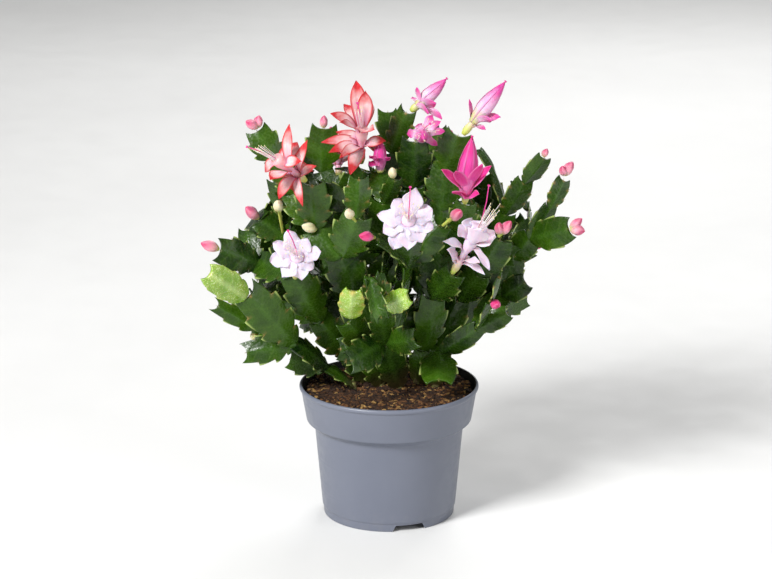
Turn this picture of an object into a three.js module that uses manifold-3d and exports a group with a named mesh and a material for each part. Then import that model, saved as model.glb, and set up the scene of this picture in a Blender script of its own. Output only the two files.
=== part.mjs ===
// A christmas cactus in a plain round nursery pot, in millimetres, +Z up, with its front facing -Y.
// The origin is the centre of the pot's foot. Twelve stems, each a chain of flat, toothed segments that
// forks as it grows, stand in holes in the soil. Young lime segments, buds and flowers sit on the ends of
// the segments. The sides and the back are planted like the front.
import * as THREE from "three";
import { mergeVertices } from "three/addons/utils/BufferGeometryUtils.js";
import Module from "manifold-3d";

const wasm = await Module();
wasm.setup();

// Driving dimensions
const POT_HEIGHT = 90;
const RIM_RADIUS = 60;
const WALL = 1.2;
const GAP = 0.35; // clearance between any two separate pieces
const ROUND_SIDES = 24;
const DRAIN_SIDES = 6;
const FLOOR_RISE = 6; // the floor lies this far above the foot ring
const CENTRE_FOOT = 13; // radius of the flat middle of the floor, which stands on the ground
const CENTRE_STEP = 2; // how far out its wall leans as it rises to the floor
const SOIL_DROP = 4.5; // the soil lies this far below the rim
const SOIL_LEVEL = POT_HEIGHT - SOIL_DROP;
const NECK_RADIUS = 3.1; // the woody neck by which a stem is rooted in the soil
const NECK_DEPTH = 15;
const NECK_SIDES = 5;
const PAD_THICKNESS = 1.4;
const RIB_THICKNESS = 2.4;
const PAD_SETBACK = 0.9; // a segment's foot starts this far back along the one it grows from
const JOINT_TOLERANCE = 0.4; // slivers thinner than this are left out where segments or petals join
const PAD_NOTCH = 0.12; // and up to this share of that one's width off its middle, towards its own side
const PAD_ROOT = 1.2; // and this far back along itself
const PAD_BOW = 0.05; // bulge of a segment towards its face, as a share of its length
const SEAT_SIDE = 0.3; // how far to its own side a bud sits on a segment's end, as a share of the lean
const SEAT_MOST = 0.2; // and at most this share of the width
const END_DIP = 0.03; // the middle of a segment's end lies this share of its length further back
const END_FLAT = 0.13; // half the flat stretch of that end, as a share of the width
const END_SLOPE = 0.7; // and how steeply it then climbs to the corner
const FACE_ON = 0.6; // what points this much along a segment's face sits on that face,
const FACE_BACK = 2; // this far back from the end
const YOUNG_FOOT = 1; // half the width of a young segment's foot

// Inner segments, which the photograph hides: they fork off others' ends where there is room
const INNER_COUNT = 14;
const INNER_TRIES = 40000;
const INNER_SEED = 613;
const INNER_LENGTH = [22, 29];
const INNER_WIDTH = [17, 23];
const INNER_OUTER = [10, 30]; // how far its farthest point is from the segments that are there already
const INNER_CLEAR = 5.5; // and how far its nearest point
const INNER_BEHIND = 5; // how far it lies behind the front ones
const INNER_OF_BLOOMS = 17; // how far it stays from flowers, and from buds
const INNER_OF_BUDS = 9;
const ALONG_BLOOM = [0.2, 0.5, 0.8, 1]; // where along a flower that is measured, as shares of its length
const SPOTS = { along: [0.3, 0.5, 0.7, 0.85, 1], across: [-0.9, -0.45, 0, 0.45, 0.9] };
const FORK_ON = [0.2, 1]; // how much it goes on as the one it grows from,
const FORK_ASIDE = [0.4, 1]; // how much aside,
const FORK_UP = 0.35; // and how much up
const FACE_UP = 0.3;
const CELL = 2; // the front view is divided into cells of this size,
const CELLS = [160, 170]; // this many of them,
const CELL_MIDDLE = 80; // with the axis in this column
const CELL_SPREAD = 2;
const HULL_CENTRE = [0, 12, 168]; // the plant's rounded form
const HULL_RADII = [112, 100, 105];
const LOW_REACH = 50; // how far from the axis a low segment may reach
const LOW_BELOW = 24; // and how far over the soil that ends
const SOIL_CLEAR = 6;
const BACK_ROOT = 35; // stems rooted further back than this are modelled without the teeth

// The view from the front in which the plant's points are given
const VIEW_TILT = THREE.MathUtils.degToRad(16);
const VIEW_DISTANCE = 1800;
const VIEW_CENTRE = 155; // the height that it looks at

// Flowers, in mm and in shares of the flower's length; angles in degrees from its axis
const TUBE = { foot: 1.5, ovary: 2.5, neck: 1.7, throat: 3 }; // radii from the foot to the petals
const STYLE = { foot: 1.2, tip: 0.5, rise: 0.55, shut: 0.4, open: 0.62 };
const PETAL_THICKNESS = 0.9;
const PETAL_START = 0.9; // how far from the axis a petal starts
const PETAL_BEND = 0.5; // and where along it the petal bends and is widest
const PETAL_SHUT = 0.55; // how wide a shut flower's petals are beside an open one's
const TIERS = [
  { count: 4, rise: 0.36, length: 0.42, wide: 0.2, closed: [36, 0], opened: [62, 116], first: 0.5 },
  { count: 4, rise: 0.5, length: 0.5, wide: 0.19, closed: [18, -6], opened: [38, 76], first: 0 },
];
const TUBE_SIDES = 4;
const STYLE_SIDES = 3;
const BUD_SIDES = 5;
const BUD_FOOT = 0.4; // a bud's radius at its foot, as a share of its greatest
const BUD_PAIR_FOOT = 0.7; // and the room that two on one foot need

const COLOURS = {
  pot: 0x858a98,
  soil: 0x3a2114,
  pad: 0x2c5a22,
  lime: 0x9ec43c,
  bud: 0xe79aa8,
  creamBud: 0xe9e0b4,
  red: 0xe85a50,
  pink: 0xf0a0c8,
  magenta: 0xe0258c,
  white: 0xf3e6f4,
};

const material = (colour, roughness) =>
  new THREE.MeshStandardMaterial({ color: colour, roughness, metalness: 0 });

// Points of the plant are given as they are seen from the front, looking down by VIEW_TILT: x to the
// right and h up, both as measured at the pot's axis, and y away from the viewer.
function seen(x, h, y) {
  const [sin, cos] = [Math.sin(VIEW_TILT), Math.cos(VIEW_TILT)];
  const slope = ((h - VIEW_CENTRE) * cos) / VIEW_DISTANCE;
  const way = (y + VIEW_DISTANCE * cos) / (cos + slope * sin);
  const z = VIEW_CENTRE + VIEW_DISTANCE * sin + way * (slope * cos - sin);
  return new THREE.Vector3((x * way) / VIEW_DISTANCE, y, z);
}

const FRONT = new THREE.Vector3(0, -1, 0.3);
const BACK = new THREE.Vector3(0, 1, 0.3);

// Each stem has the place of its root on the soil, the way its segments face, and its segments.
// A segment is [the segment it grows on, x, h, y of its end, width, turn about its length in degrees].
const STEMS = {
  stem_low_left: {
    root: [-24, 3],
    face: FRONT,
    pads: [
      [-1, -42, 101, -6, 15, 65],
      [0, -63, 118, -24, 18, 45],
      [1, -94, 152, -44, 29, 8],
      [1, -84, 127, 0, 22, 25],
      [3, -115, 144, -10, 14, 0],
      [1, -96, 111, -26, 20, 0],
      [0, -66, 107, 12, 20, 5],
    ],
  },
  stem_mid_left: {
    root: [-14, 16],
    face: FRONT,
    pads: [
      [-1, -28, 111, 8, 20, 30],
      [0, -46, 134, -8, 24, 10],
      [1, -64, 166, -30, 26, 0],
      [2, -87, 174, -2, 24, 20],
      [2, -70, 194, 4, 24, -10],
      [4, -86, 203, 4, 22, 15],
      [3, -113, 182, -12, 24, 12],
    ],
  },
  stem_centre_left: {
    root: [-5, 6],
    face: FRONT,
    pads: [
      [-1, -13, 114, -6, 22, 20],
      [0, -22, 150, -26, 26, -10],
      [1, -32, 178, -34, 28, 0],
      [2, -50, 197, -26, 26, 10],
      [3, -64, 222, -14, 23, 10],
      [4, -75, 243, -8, 20, 30],
      [5, -88, 265, -4, 22, 5],
      [3, -51, 228, -36, 25, -10],
      [2, -21, 205, -52, 28, 0],
      [8, -20, 232, -46, 19, 10],
      [0, -28, 133, -38, 22, 10],
    ],
  },
  stem_centre: {
    root: [7, 0],
    face: FRONT,
    pads: [
      [-1, -3, 118, -22, 22, 0],
      [0, -26, 105, -50, 24, 0],
      [0, 17, 121, -52, 20, 10],
      [0, 10, 148, -14, 20, 60],
      [3, 12, 172, -30, 20, 75],
      [4, -9, 190, -64, 20, 75],
      [0, -6, 141, -44, 19, 10],
      [6, -11, 163, -58, 16, 30],
      [7, -5, 135, -72, 15, 40],
      [4, 14, 194, -52, 19, 20],
      [4, 34, 200, -32, 23, -5],
    ],
  },
  stem_top: {
    root: [5, 26],
    face: FRONT,
    pads: [
      [-1, 4, 115, 22, 20, 30],
      [0, 0, 148, 16, 26, 0],
      [1, -4, 182, 6, 28, 10],
      [2, -4, 216, -10, 26, 0],
      [3, 4, 231, -24, 13, 20],
      [2, 12, 204, 22, 26, -10],
      [5, 17, 226, 12, 20, 0],
      [6, 17, 258, 0, 25, 0],
      [6, 1, 250, 26, 22, 20],
      [8, -1, 278, 38, 20, 20],
      [8, 12, 278, 16, 18, -10],
      [3, -6, 236, 6, 18, 0],
    ],
  },
  stem_centre_right: {
    root: [19, 12],
    face: FRONT,
    pads: [
      [-1, 24, 114, 6, 20, -20],
      [0, 29, 150, -8, 24, 20],
      [1, 33, 182, -4, 26, 0],
      [2, 35, 211, -4, 24, 10],
      [3, 37, 238, -2, 26, -5],
      [4, 46, 262, -12, 25, 0],
      [4, 32, 265, 28, 20, -10],
      [2, 47, 194, -16, 20, -20],
      [7, 51, 214, -30, 20, 0],
      [1, 43, 166, -48, 22, 0],
    ],
  },
  stem_right: {
    root: [31, 5],
    face: FRONT,
    pads: [
      [-1, 33, 112, -6, 18, 10],
      [0, 33, 91, -36, 26, 0],
      [0, 59, 128, -20, 16, 10],
      [2, 79, 139, -22, 15, 0],
      [2, 67, 147, -42, 14, 75],
      [4, 73, 164, -50, 14, 80],
      [2, 74, 151, 10, 19, -20],
      [6, 91, 160, -4, 18, 0],
      [6, 82, 178, 8, 22, 10],
      [8, 94, 191, -4, 20, 0],
      [9, 107, 212, -6, 15, 30],
      [10, 116, 231, 0, 13, 20],
      [9, 120, 197, -26, 22, 5],
    ],
  },
  stem_far_right: {
    root: [22, 26],
    face: FRONT,
    pads: [
      [-1, 33, 118, 20, 20, 0],
      [0, 46, 149, 14, 24, -10],
      [1, 60, 166, -14, 22, 0],
      [2, 74, 190, -24, 25, -5],
      [1, 62, 181, 30, 22, 0],
      [4, 78, 208, 24, 20, 10],
      [5, 70, 233, 32, 14, 65],
      [6, 60, 251, 36, 14, 65],
      [5, 90, 230, 12, 17, 20],
      [8, 103, 246, 8, 15, 30],
    ],
  },
  stem_far_left: {
    root: [-17, 30],
    face: FRONT,
    pads: [
      [-1, -25, 117, 28, 20, 10],
      [0, -33, 149, 26, 24, -10],
      [1, -38, 181, 20, 26, 10],
      [2, -36, 210, 12, 26, 0],
      [3, -46, 237, 24, 25, -10],
      [4, -43, 267, 22, 25, 0],
      [3, -16, 238, 8, 22, 10],
    ],
  },
  stem_back_left: {
    root: [-20, 40],
    face: BACK,
    pads: [
      [-1, -28, 118, 42, 20, 0],
      [0, -42, 146, 50, 26, 10],
      [1, -56, 174, 56, 27, -10],
      [2, -66, 202, 58, 26, 0],
      [3, -68, 228, 52, 22, 15],
      [1, -64, 144, 72, 24, 0],
      [5, -84, 150, 90, 24, 0],
      [2, -34, 200, 62, 25, 10],
      [7, -30, 230, 58, 24, -10],
    ],
  },
  stem_back: {
    root: [2, 44],
    face: BACK,
    pads: [
      [-1, 4, 120, 52, 20, 0],
      [0, 8, 150, 62, 26, 10],
      [1, 6, 182, 62, 27, 0],
      [2, 0, 214, 60, 26, -10],
      [3, 10, 244, 56, 25, 0],
      [2, 30, 204, 74, 25, 10],
      [5, 36, 232, 74, 24, 0],
      [0, -14, 144, 80, 25, 0],
      [7, -20, 166, 102, 24, 10],
      [0, 26, 140, 84, 24, 0],
      [9, 38, 158, 108, 24, 0],
    ],
  },
  stem_back_right: {
    root: [24, 40],
    face: BACK,
    pads: [
      [-1, 36, 118, 40, 20, 0],
      [0, 56, 144, 44, 26, 0],
      [1, 66, 172, 48, 26, 10],
      [2, 70, 204, 44, 25, 0],
      [3, 62, 234, 46, 24, 0],
      [2, 94, 184, 58, 24, 0],
      [1, 74, 140, 66, 24, 0],
      [6, 92, 150, 82, 24, 0],
    ],
  },
};

// Young segments: [the stem and segment that carry it, the place of its end, width, turn].
const YOUNG = {
  young_left: ["stem_low_left", 2, [-120, 166, -66], 21, 0],
  young_centre: ["stem_centre_left", 10, [-24, 154, -54], 18, 0],
  young_right: ["stem_centre", 6, [13, 150, -58], 16, 0],
};

// Flowers: [the stem and segment that carry it, the place it reaches to, how far it is open from 0 to
// 1, its colour].
const BLOOMS = {
  bloom_red_left: ["stem_centre_left", 7, [-80, 254, -54], 1, COLOURS.red],
  bloom_red_top: ["stem_far_left", 6, [-24, 282, -8], 1, COLOURS.red],
  bloom_pink_top: ["stem_top", 10, [38, 300, 8], 0.25, COLOURS.pink],
  bloom_pink_right: ["stem_centre_right", 5, [77, 297, -16], 0.3, COLOURS.pink],
  bloom_magenta: ["stem_centre_right", 8, [55, 256, -40], 0.35, COLOURS.magenta],
  bloom_pink_small: ["stem_top", 7, [24, 272, -28], 0.9, COLOURS.pink],
  bloom_magenta_small: ["stem_top", 11, [-6, 259, 0], 0.1, COLOURS.magenta],
  bloom_white_centre: ["stem_centre", 9, [14, 199, -92], 0.9, COLOURS.white],
  bloom_white_left: ["stem_mid_left", 2, [-64, 177, -74], 0.9, COLOURS.white],
  bloom_white_right: ["stem_centre_right", 9, [62, 201, -76], 1, COLOURS.white],
  bloom_red_back: ["stem_back_left", 8, [-38, 264, 74], 1, COLOURS.red],
  bloom_pink_back: ["stem_back", 6, [42, 262, 92], 0.8, COLOURS.pink],
  bloom_white_back: ["stem_back_left", 6, [-74, 160, 124], 0.9, COLOURS.white],
  bloom_magenta_back: ["stem_back_right", 3, [58, 212, 88], 0.4, COLOURS.magenta],
  bloom_white_side: ["stem_back_right", 7, [72, 158, 120], 0.9, COLOURS.white],
};

// Buds: [the stem and segment that carry them, their colour, their ends as x, h, y and radius].
const BUDS = {
  bud_pair_upper_left: ["stem_centre_left", 6, COLOURS.bud, [-95, 271, -9, 3.2], [-86, 275, -3, 3.1]],
  bud_red_left: ["stem_mid_left", 5, COLOURS.bud, [-95, 212, -2, 3.6]],
  bud_salmon_left: ["stem_mid_left", 6, COLOURS.bud, [-125, 187, -14, 3.5]],
  bud_cream_left: ["stem_mid_left", 4, COLOURS.creamBud, [-74, 216, -24, 3.2]],
  bud_pale_top: ["stem_far_left", 5, COLOURS.bud, [-43, 275, 22, 2.6]],
  bud_cream_centre: ["stem_centre_left", 8, COLOURS.creamBud, [-28, 209, -70, 3]],
  bud_cream_small: ["stem_top", 4, COLOURS.creamBud, [2, 239, -28, 2.6]],
  bud_magenta: ["stem_centre", 5, COLOURS.magenta, [-20, 192, -70, 3.1]],
  bud_pink_centre: ["stem_centre", 10, COLOURS.bud, [48, 209, -50, 3.5]],
  bud_pale_tip: ["stem_far_right", 9, COLOURS.bud, [105, 252, 8, 2.2]],
  bud_pair_right: ["stem_right", 11, COLOURS.bud, [122, 243, 0, 3.3], [115, 240, -4, 2.6]],
  bud_pair_far_right: ["stem_right", 12, COLOURS.bud, [128, 204, -26, 2.8], [130, 195, -29, 3.6]],
  bud_two_lobed: ["stem_far_right", 3, COLOURS.bud, [73, 201, -30, 2.8], [81, 202, -28, 3.2]],
  bud_low_right: ["stem_right", 4, COLOURS.magenta, [73, 145, -50, 3]],
  bud_cream_low: ["stem_low_left", 3, COLOURS.creamBud, [-91, 121, 4, 3]],
  bud_cream_upper: ["stem_centre_left", 3, COLOURS.creamBud, [-58, 199, -34, 3.2]],
  bud_back_left: ["stem_back_left", 4, COLOURS.bud, [-70, 238, 50, 3.4]],
  bud_back_low: ["stem_back", 8, COLOURS.creamBud, [-23, 173, 112, 3.2]],
  bud_back_centre: ["stem_back", 4, COLOURS.bud, [11, 254, 60, 3.4]],
  bud_back_low_right: ["stem_back", 10, COLOURS.bud, [42, 166, 118, 3.4]],
  bud_back_right: ["stem_back_right", 5, COLOURS.magenta, [104, 189, 62, 3.6]],
};

// A closed geometry with merged vertices, as a solid.
function solidOf(geometry) {
  const bare = new THREE.BufferGeometry().setAttribute("position", geometry.getAttribute("position"));
  if (geometry.index) bare.setIndex(geometry.index);
  const merged = mergeVertices(bare, 1e-3);
  return new wasm.Manifold(
    new wasm.Mesh({
      numProp: 3,
      vertProperties: new Float32Array(merged.attributes.position.array),
      triVerts: new Uint32Array(merged.index.array),
    }),
  );
}

function geometryOf(solid) {
  const { vertProperties, triVerts } = solid.getMesh();
  const geometry = new THREE.BufferGeometry();
  geometry.setAttribute("position", new THREE.BufferAttribute(vertProperties, 3));
  geometry.setIndex(new THREE.BufferAttribute(triVerts, 1));
  return geometry;
}

const joined = (solids) => solids.reduce((all, one) => all.add(one));

// A geometry turned about Z from a profile of [radius, height] pairs that starts and ends on the axis.
function lathed(profile, sides) {
  const points = profile.map(([r, z]) => new THREE.Vector2(r, z));
  return new THREE.LatheGeometry(points, sides).rotateX(Math.PI / 2);
}

function cylinder(x, y, radius, low, high, sides) {
  const geometry = new THREE.CylinderGeometry(radius, radius, high - low, sides);
  geometry.rotateX(Math.PI / 2);
  geometry.translate(x, y, (low + high) / 2);
  return solidOf(geometry);
}

// The pot: a raised floor with drain holes and a flat middle foot, a foot ring with slots, a body and a
// wide rim band.
const FOOT_RADIUS = 43.9;
const BODY_LOW_RADIUS = 44.9;
const BODY_TOP = { radius: 49.8, z: 61 };
const BAND_LOW = { radius: 55.3, z: 66 };
const BAND_TOP = { radius: 58.8, z: 86.4 };
const DRAIN = { count: 5, ring: 28, radius: 4 };
const SLOT = { count: 3, first: 18, wide: 23, narrow: 18.4, height: 4.4, depth: 8 };

function pot() {
  const shell = lathed(
    [
      [0, 0],
      [CENTRE_FOOT, 0],
      [CENTRE_FOOT + CENTRE_STEP, FLOOR_RISE],
      [FOOT_RADIUS - WALL, FLOOR_RISE],
      [FOOT_RADIUS - WALL, 0],
      [FOOT_RADIUS, 0],
      [FOOT_RADIUS + 0.3, FLOOR_RISE - 0.8],
      [BODY_LOW_RADIUS, FLOOR_RISE + 0.2],
      [BODY_TOP.radius, BODY_TOP.z],
      [BAND_LOW.radius, BAND_LOW.z],
      [BAND_TOP.radius, BAND_TOP.z],
      [RIM_RADIUS, BAND_TOP.z + 1.2],
      [RIM_RADIUS, POT_HEIGHT - 0.8],
      [RIM_RADIUS - 0.8, POT_HEIGHT],
      [RIM_RADIUS - 1.9, POT_HEIGHT],
      [BAND_LOW.radius - WALL, BAND_LOW.z + 0.5],
      [BODY_TOP.radius - WALL, BODY_TOP.z + 0.5],
      [BODY_LOW_RADIUS - WALL, FLOOR_RISE + WALL],
      [CENTRE_FOOT + CENTRE_STEP - WALL, FLOOR_RISE + WALL],
      [CENTRE_FOOT - WALL, WALL],
      [0, WALL],
    ],
    ROUND_SIDES,
  );
  const slots = Array.from({ length: SLOT.count }, (_, i) => {
    const shape = new THREE.Shape();
    shape.moveTo(-SLOT.wide / 2, -1);
    shape.lineTo(SLOT.wide / 2, -1);
    shape.lineTo(SLOT.narrow / 2, SLOT.height);
    shape.lineTo(-SLOT.narrow / 2, SLOT.height);
    shape.closePath();
    const block = new THREE.ExtrudeGeometry(shape, { depth: SLOT.depth, bevelEnabled: false });
    block.rotateX(Math.PI / 2);
    block.translate(0, -FOOT_RADIUS + SLOT.depth - 2, 0);
    block.rotateZ(THREE.MathUtils.degToRad(SLOT.first + (i * 360) / SLOT.count));
    return solidOf(block);
  });
  const drains = Array.from({ length: DRAIN.count }, (_, i) => {
    const a = (i * 2 * Math.PI) / DRAIN.count;
    const [x, y] = [DRAIN.ring * Math.cos(a), DRAIN.ring * Math.sin(a)];
    return cylinder(x, y, DRAIN.radius, FLOOR_RISE - 1, FLOOR_RISE + WALL + 1, DRAIN_SIDES);
  });
  return [...slots, ...drains].reduce((body, cut) => body.subtract(cut), solidOf(shell));
}

// The soil fills the pot up to its uneven top, and has a plain hole for each stem's neck.
const soilTop = (x, y) =>
  SOIL_LEVEL + 0.7 * Math.sin(x / 7 + 1) * Math.cos(y / 9) + 0.5 * Math.sin(y / 5 + x / 11);

function soil() {
  const clear = WALL + GAP;
  const wallSlope = (RIM_RADIUS - 1.9 - BAND_LOW.radius + WALL) / (POT_HEIGHT - BAND_LOW.z - 0.5);
  const topRadius = BAND_LOW.radius - clear + wallSlope * (SOIL_LEVEL - 2 - BAND_LOW.z - 0.5);
  const profile = [
    [0, FLOOR_RISE + clear],
    [BODY_LOW_RADIUS - clear, FLOOR_RISE + clear],
    [BODY_TOP.radius - clear, BODY_TOP.z + 0.7],
    [BAND_LOW.radius - clear, BAND_LOW.z + 0.7],
    [topRadius, SOIL_LEVEL - 2],
    [topRadius - 6, SOIL_LEVEL],
    [27, SOIL_LEVEL],
    [0, SOIL_LEVEL],
  ];
  const lathe = lathed(profile, ROUND_SIDES);
  const position = lathe.getAttribute("position");
  for (let i = 0; i < position.count; i++)
    if (position.getZ(i) > SOIL_LEVEL - 1)
      position.setZ(i, soilTop(position.getX(i), position.getY(i)));
  const holes = Object.values(STEMS).map(({ root: [x, y] }) =>
    cylinder(x, y, NECK_RADIUS + GAP, SOIL_LEVEL - NECK_DEPTH - 1, POT_HEIGHT, NECK_SIDES),
  );
  return holes.reduce((body, hole) => body.subtract(hole), solidOf(lathe));
}

// Half a segment's outline from foot to end: [share of the length, share of the half width, the point
// of the midrib that it fans from]. It has two forward teeth and a horn at the corner of the cut-off end.
const PAD_OUTLINE = [
  [0, 0, 0],
  [0.42, 1, 0],
  [0.48, 0.8, 0],
  [0.75, 0.99, 0],
  [0.79, 0.74, 1],
  [1.05, 0.6, 1],
  [0.97, 0.26, 1],
];
const MIDRIB = [0.4, 0.84];
// The same without the teeth, for the inner segments and the stems at the back
const PLAIN_OUTLINE = [
  [0, 0, 0],
  [0.42, 0.95, 0],
  [0.79, 0.92, 1],
  [1.05, 0.6, 1],
  [0.97, 0.26, 1],
];

// The frame of a segment: its foot, its length along `along`, its half width across and its face.
function padFrame(foot, end, face, turn) {
  const along = end.clone().sub(foot);
  const length = along.length();
  along.normalize();
  const out = face.clone().addScaledVector(along, -face.dot(along)).normalize();
  out.applyAxisAngle(along, THREE.MathUtils.degToRad(turn));
  const across = along.clone().cross(out);
  return { foot, along, length, out, across };
}

// A segment's solid: both faces fan out from the raised midrib to the toothed edge.
function padSolid({ foot, along, length, out, across }, wide, outline) {
  const points = [];
  const put = (u, v, lift) => {
    const bow = 4 * PAD_BOW * length * u * (1 - u);
    const point = foot.clone().addScaledVector(along, u * length);
    point.addScaledVector(across, (v * wide) / 2).addScaledVector(out, bow + lift);
    points.push(point.x, point.y, point.z);
    return points.length / 3 - 1;
  };
  const sheet = (face) => {
    const edge = (face * PAD_THICKNESS) / 2;
    const right = outline.map(([u, v]) => put(u, v, edge));
    const left = outline.map(([u, v], i) => (i ? put(u, -v, edge) : right[0]));
    const rib = MIDRIB.map((u) => put(u, 0, (face * RIB_THICKNESS) / 2));
    return { right, left, rib };
  };
  const front = sheet(1);
  const back = sheet(-1);
  const faces = [];
  const fan = (edge, rib, flip) => {
    const tri = (a, b, c) => faces.push(...(flip ? [a, c, b] : [a, b, c]));
    for (let i = 1; i < outline.length; i++) {
      const from = outline[i - 1][2];
      const to = outline[i][2];
      if (to > from) {
        tri(edge[i - 1], edge[i], rib[from]);
        tri(edge[i], rib[to], rib[from]);
      } else tri(edge[i - 1], edge[i], rib[from]);
    }
  };
  fan(front.right, front.rib, false);
  fan(front.left, front.rib, true);
  fan(back.right, back.rib, true);
  fan(back.left, back.rib, false);
  const last = outline.length - 1;
  const tip = MIDRIB.length - 1;
  faces.push(front.right[last], front.left[last], front.rib[tip]);
  faces.push(back.left[last], back.right[last], back.rib[tip]);
  const wall = (a, b, under, next) => faces.push(a, under, b, under, next, b);
  for (let i = 0; i < last; i++) {
    wall(front.right[i], front.right[i + 1], back.right[i], back.right[i + 1]);
    wall(front.left[i + 1], front.left[i], back.left[i + 1], back.left[i]);
  }
  wall(front.right[last], front.left[last], back.right[last], back.left[last]);
  const geometry = new THREE.BufferGeometry();
  geometry.setAttribute("position", new THREE.Float32BufferAttribute(points, 3));
  geometry.setIndex(faces);
  return solidOf(geometry);
}

// Every segment of a stem as {end, wide, frame}, with its foot sunk into what it grows on.
function padsOf({ root: [x, y], face, pads }) {
  const crown = new THREE.Vector3(x, y, SOIL_LEVEL + 1);
  const made = [];
  for (const [on, px, ph, py, wide, turn] of pads) {
    const end = seen(px, ph, py);
    const joint = on < 0 ? crown : made[on].end;
    const step = end.clone().sub(joint).normalize();
    const foot = joint.clone().addScaledVector(step, -PAD_ROOT);
    if (on >= 0) {
      const { along, across } = made[on].frame;
      foot.addScaledVector(along, -PAD_SETBACK);
      foot.addScaledVector(across, across.dot(step) * PAD_NOTCH * made[on].wide);
    }
    made.push({ end, wide, frame: padFrame(foot, end, face, turn) });
  }
  return made;
}

// A stem: its neck with all of its segments, the inner ones in a plainer form.
function stemSolid([x, y], pads, inner, outline) {
  const neck = cylinder(x, y, NECK_RADIUS, SOIL_LEVEL - NECK_DEPTH, SOIL_LEVEL + 4, NECK_SIDES);
  const outer = pads.map(({ frame, wide }) => padSolid(frame, wide, outline));
  const within = inner.map(({ frame, wide }) => padSolid(frame, wide, PLAIN_OUTLINE));
  return largest(joined([neck, ...outer, ...within]).simplify(JOINT_TOLERANCE));
}

// The outer body of a solid, without the small hollows that may be left between its segments.
function largest(solid) {
  return solid.decompose().reduce((a, b) => (b.volume() > a.volume() ? b : a));
}

const PADS = Object.fromEntries(Object.entries(STEMS).map(([name, stem]) => [name, padsOf(stem)]));

// Even random numbers from 0 to 1, the same ones in each run.
function dice(seed) {
  let state = seed;
  return () => {
    state = (Math.imul(state, 1664525) + 1013904223) >>> 0;
    return state / 2 ** 32;
  };
}

// Points spread over a segment, with which distances are tested.
function spots({ frame: { foot, along, across, length }, wide }) {
  const made = [];
  for (const u of SPOTS.along)
    for (const v of SPOTS.across) {
      const point = foot.clone().addScaledVector(along, u * length);
      made.push(point.addScaledVector(across, (v * wide) / 2));
    }
  return made;
}

// The cell of the front view in which a point is seen.
function cellOf(point) {
  const [sin, cos] = [Math.sin(VIEW_TILT), Math.cos(VIEW_TILT)];
  const rise = point.z - VIEW_CENTRE;
  const way = VIEW_DISTANCE + point.y * cos - rise * sin;
  const x = (point.x * VIEW_DISTANCE) / way;
  const h = VIEW_CENTRE + (((rise * cos + point.y * sin) / way) * VIEW_DISTANCE) / cos;
  return [Math.round(x / CELL) + CELL_MIDDLE, Math.round(h / CELL)];
}

// How near to the viewer the known segments come in each cell of the front view. A segment's points stand
// apart, so each also counts for the cells around its own.
function frontDepths(pads) {
  const depths = new Float64Array(CELLS[0] * CELLS[1]).fill(Infinity);
  for (const pad of pads)
    for (const point of spots(pad)) {
      const [column, row] = cellOf(point);
      for (let i = column - CELL_SPREAD; i <= column + CELL_SPREAD; i++)
        for (let j = row - CELL_SPREAD; j <= row + CELL_SPREAD; j++) {
          const k = i * CELLS[1] + j;
          depths[k] = Math.min(depths[k], point.y);
        }
    }
  return depths;
}

// Draws a segment that forks off another one's end.
function forked(parent, roll) {
  const around = 2 * Math.PI * roll();
  const lift = 2 * roll() - 1;
  const flat = Math.sqrt(1 - lift * lift);
  const aside = new THREE.Vector3(Math.cos(around) * flat, Math.sin(around) * flat, lift);
  const way = parent.frame.along.clone().multiplyScalar(THREE.MathUtils.lerp(...FORK_ON, roll()));
  way.addScaledVector(aside, THREE.MathUtils.lerp(...FORK_ASIDE, roll()));
  way.add(new THREE.Vector3(0, 0, FORK_UP)).normalize();
  const length = THREE.MathUtils.lerp(...INNER_LENGTH, roll());
  const facing = 2 * Math.PI * roll();
  const face = new THREE.Vector3(Math.cos(facing), Math.sin(facing), FACE_UP);
  const wide = THREE.MathUtils.lerp(...INNER_WIDTH, roll());
  const foot = parent.end.clone().addScaledVector(way, -PAD_ROOT);
  foot.addScaledVector(parent.frame.along, -PAD_SETBACK);
  const end = foot.clone().addScaledVector(way, length);
  return { end, wide, frame: padFrame(foot, end, face, 0) };
}

// Tells whether points lie within the plant's rounded form and over the soil.
function withinPlant(points) {
  return points.every(({ x, y, z }) => {
    const share = [x, y, z].map((v, i) => (v - HULL_CENTRE[i]) / HULL_RADII[i]);
    if (share[0] ** 2 + share[1] ** 2 + share[2] ** 2 > 1) return false;
    if (z < SOIL_LEVEL + LOW_BELOW && Math.hypot(x, y) > LOW_REACH) return false;
    return z > SOIL_LEVEL + SOIL_CLEAR;
  });
}

// The distance from a point to the nearest of others.
const nearest = (point, others) => Math.sqrt(Math.min(...others.map((o) => o.distanceToSquared(point))));

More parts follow.
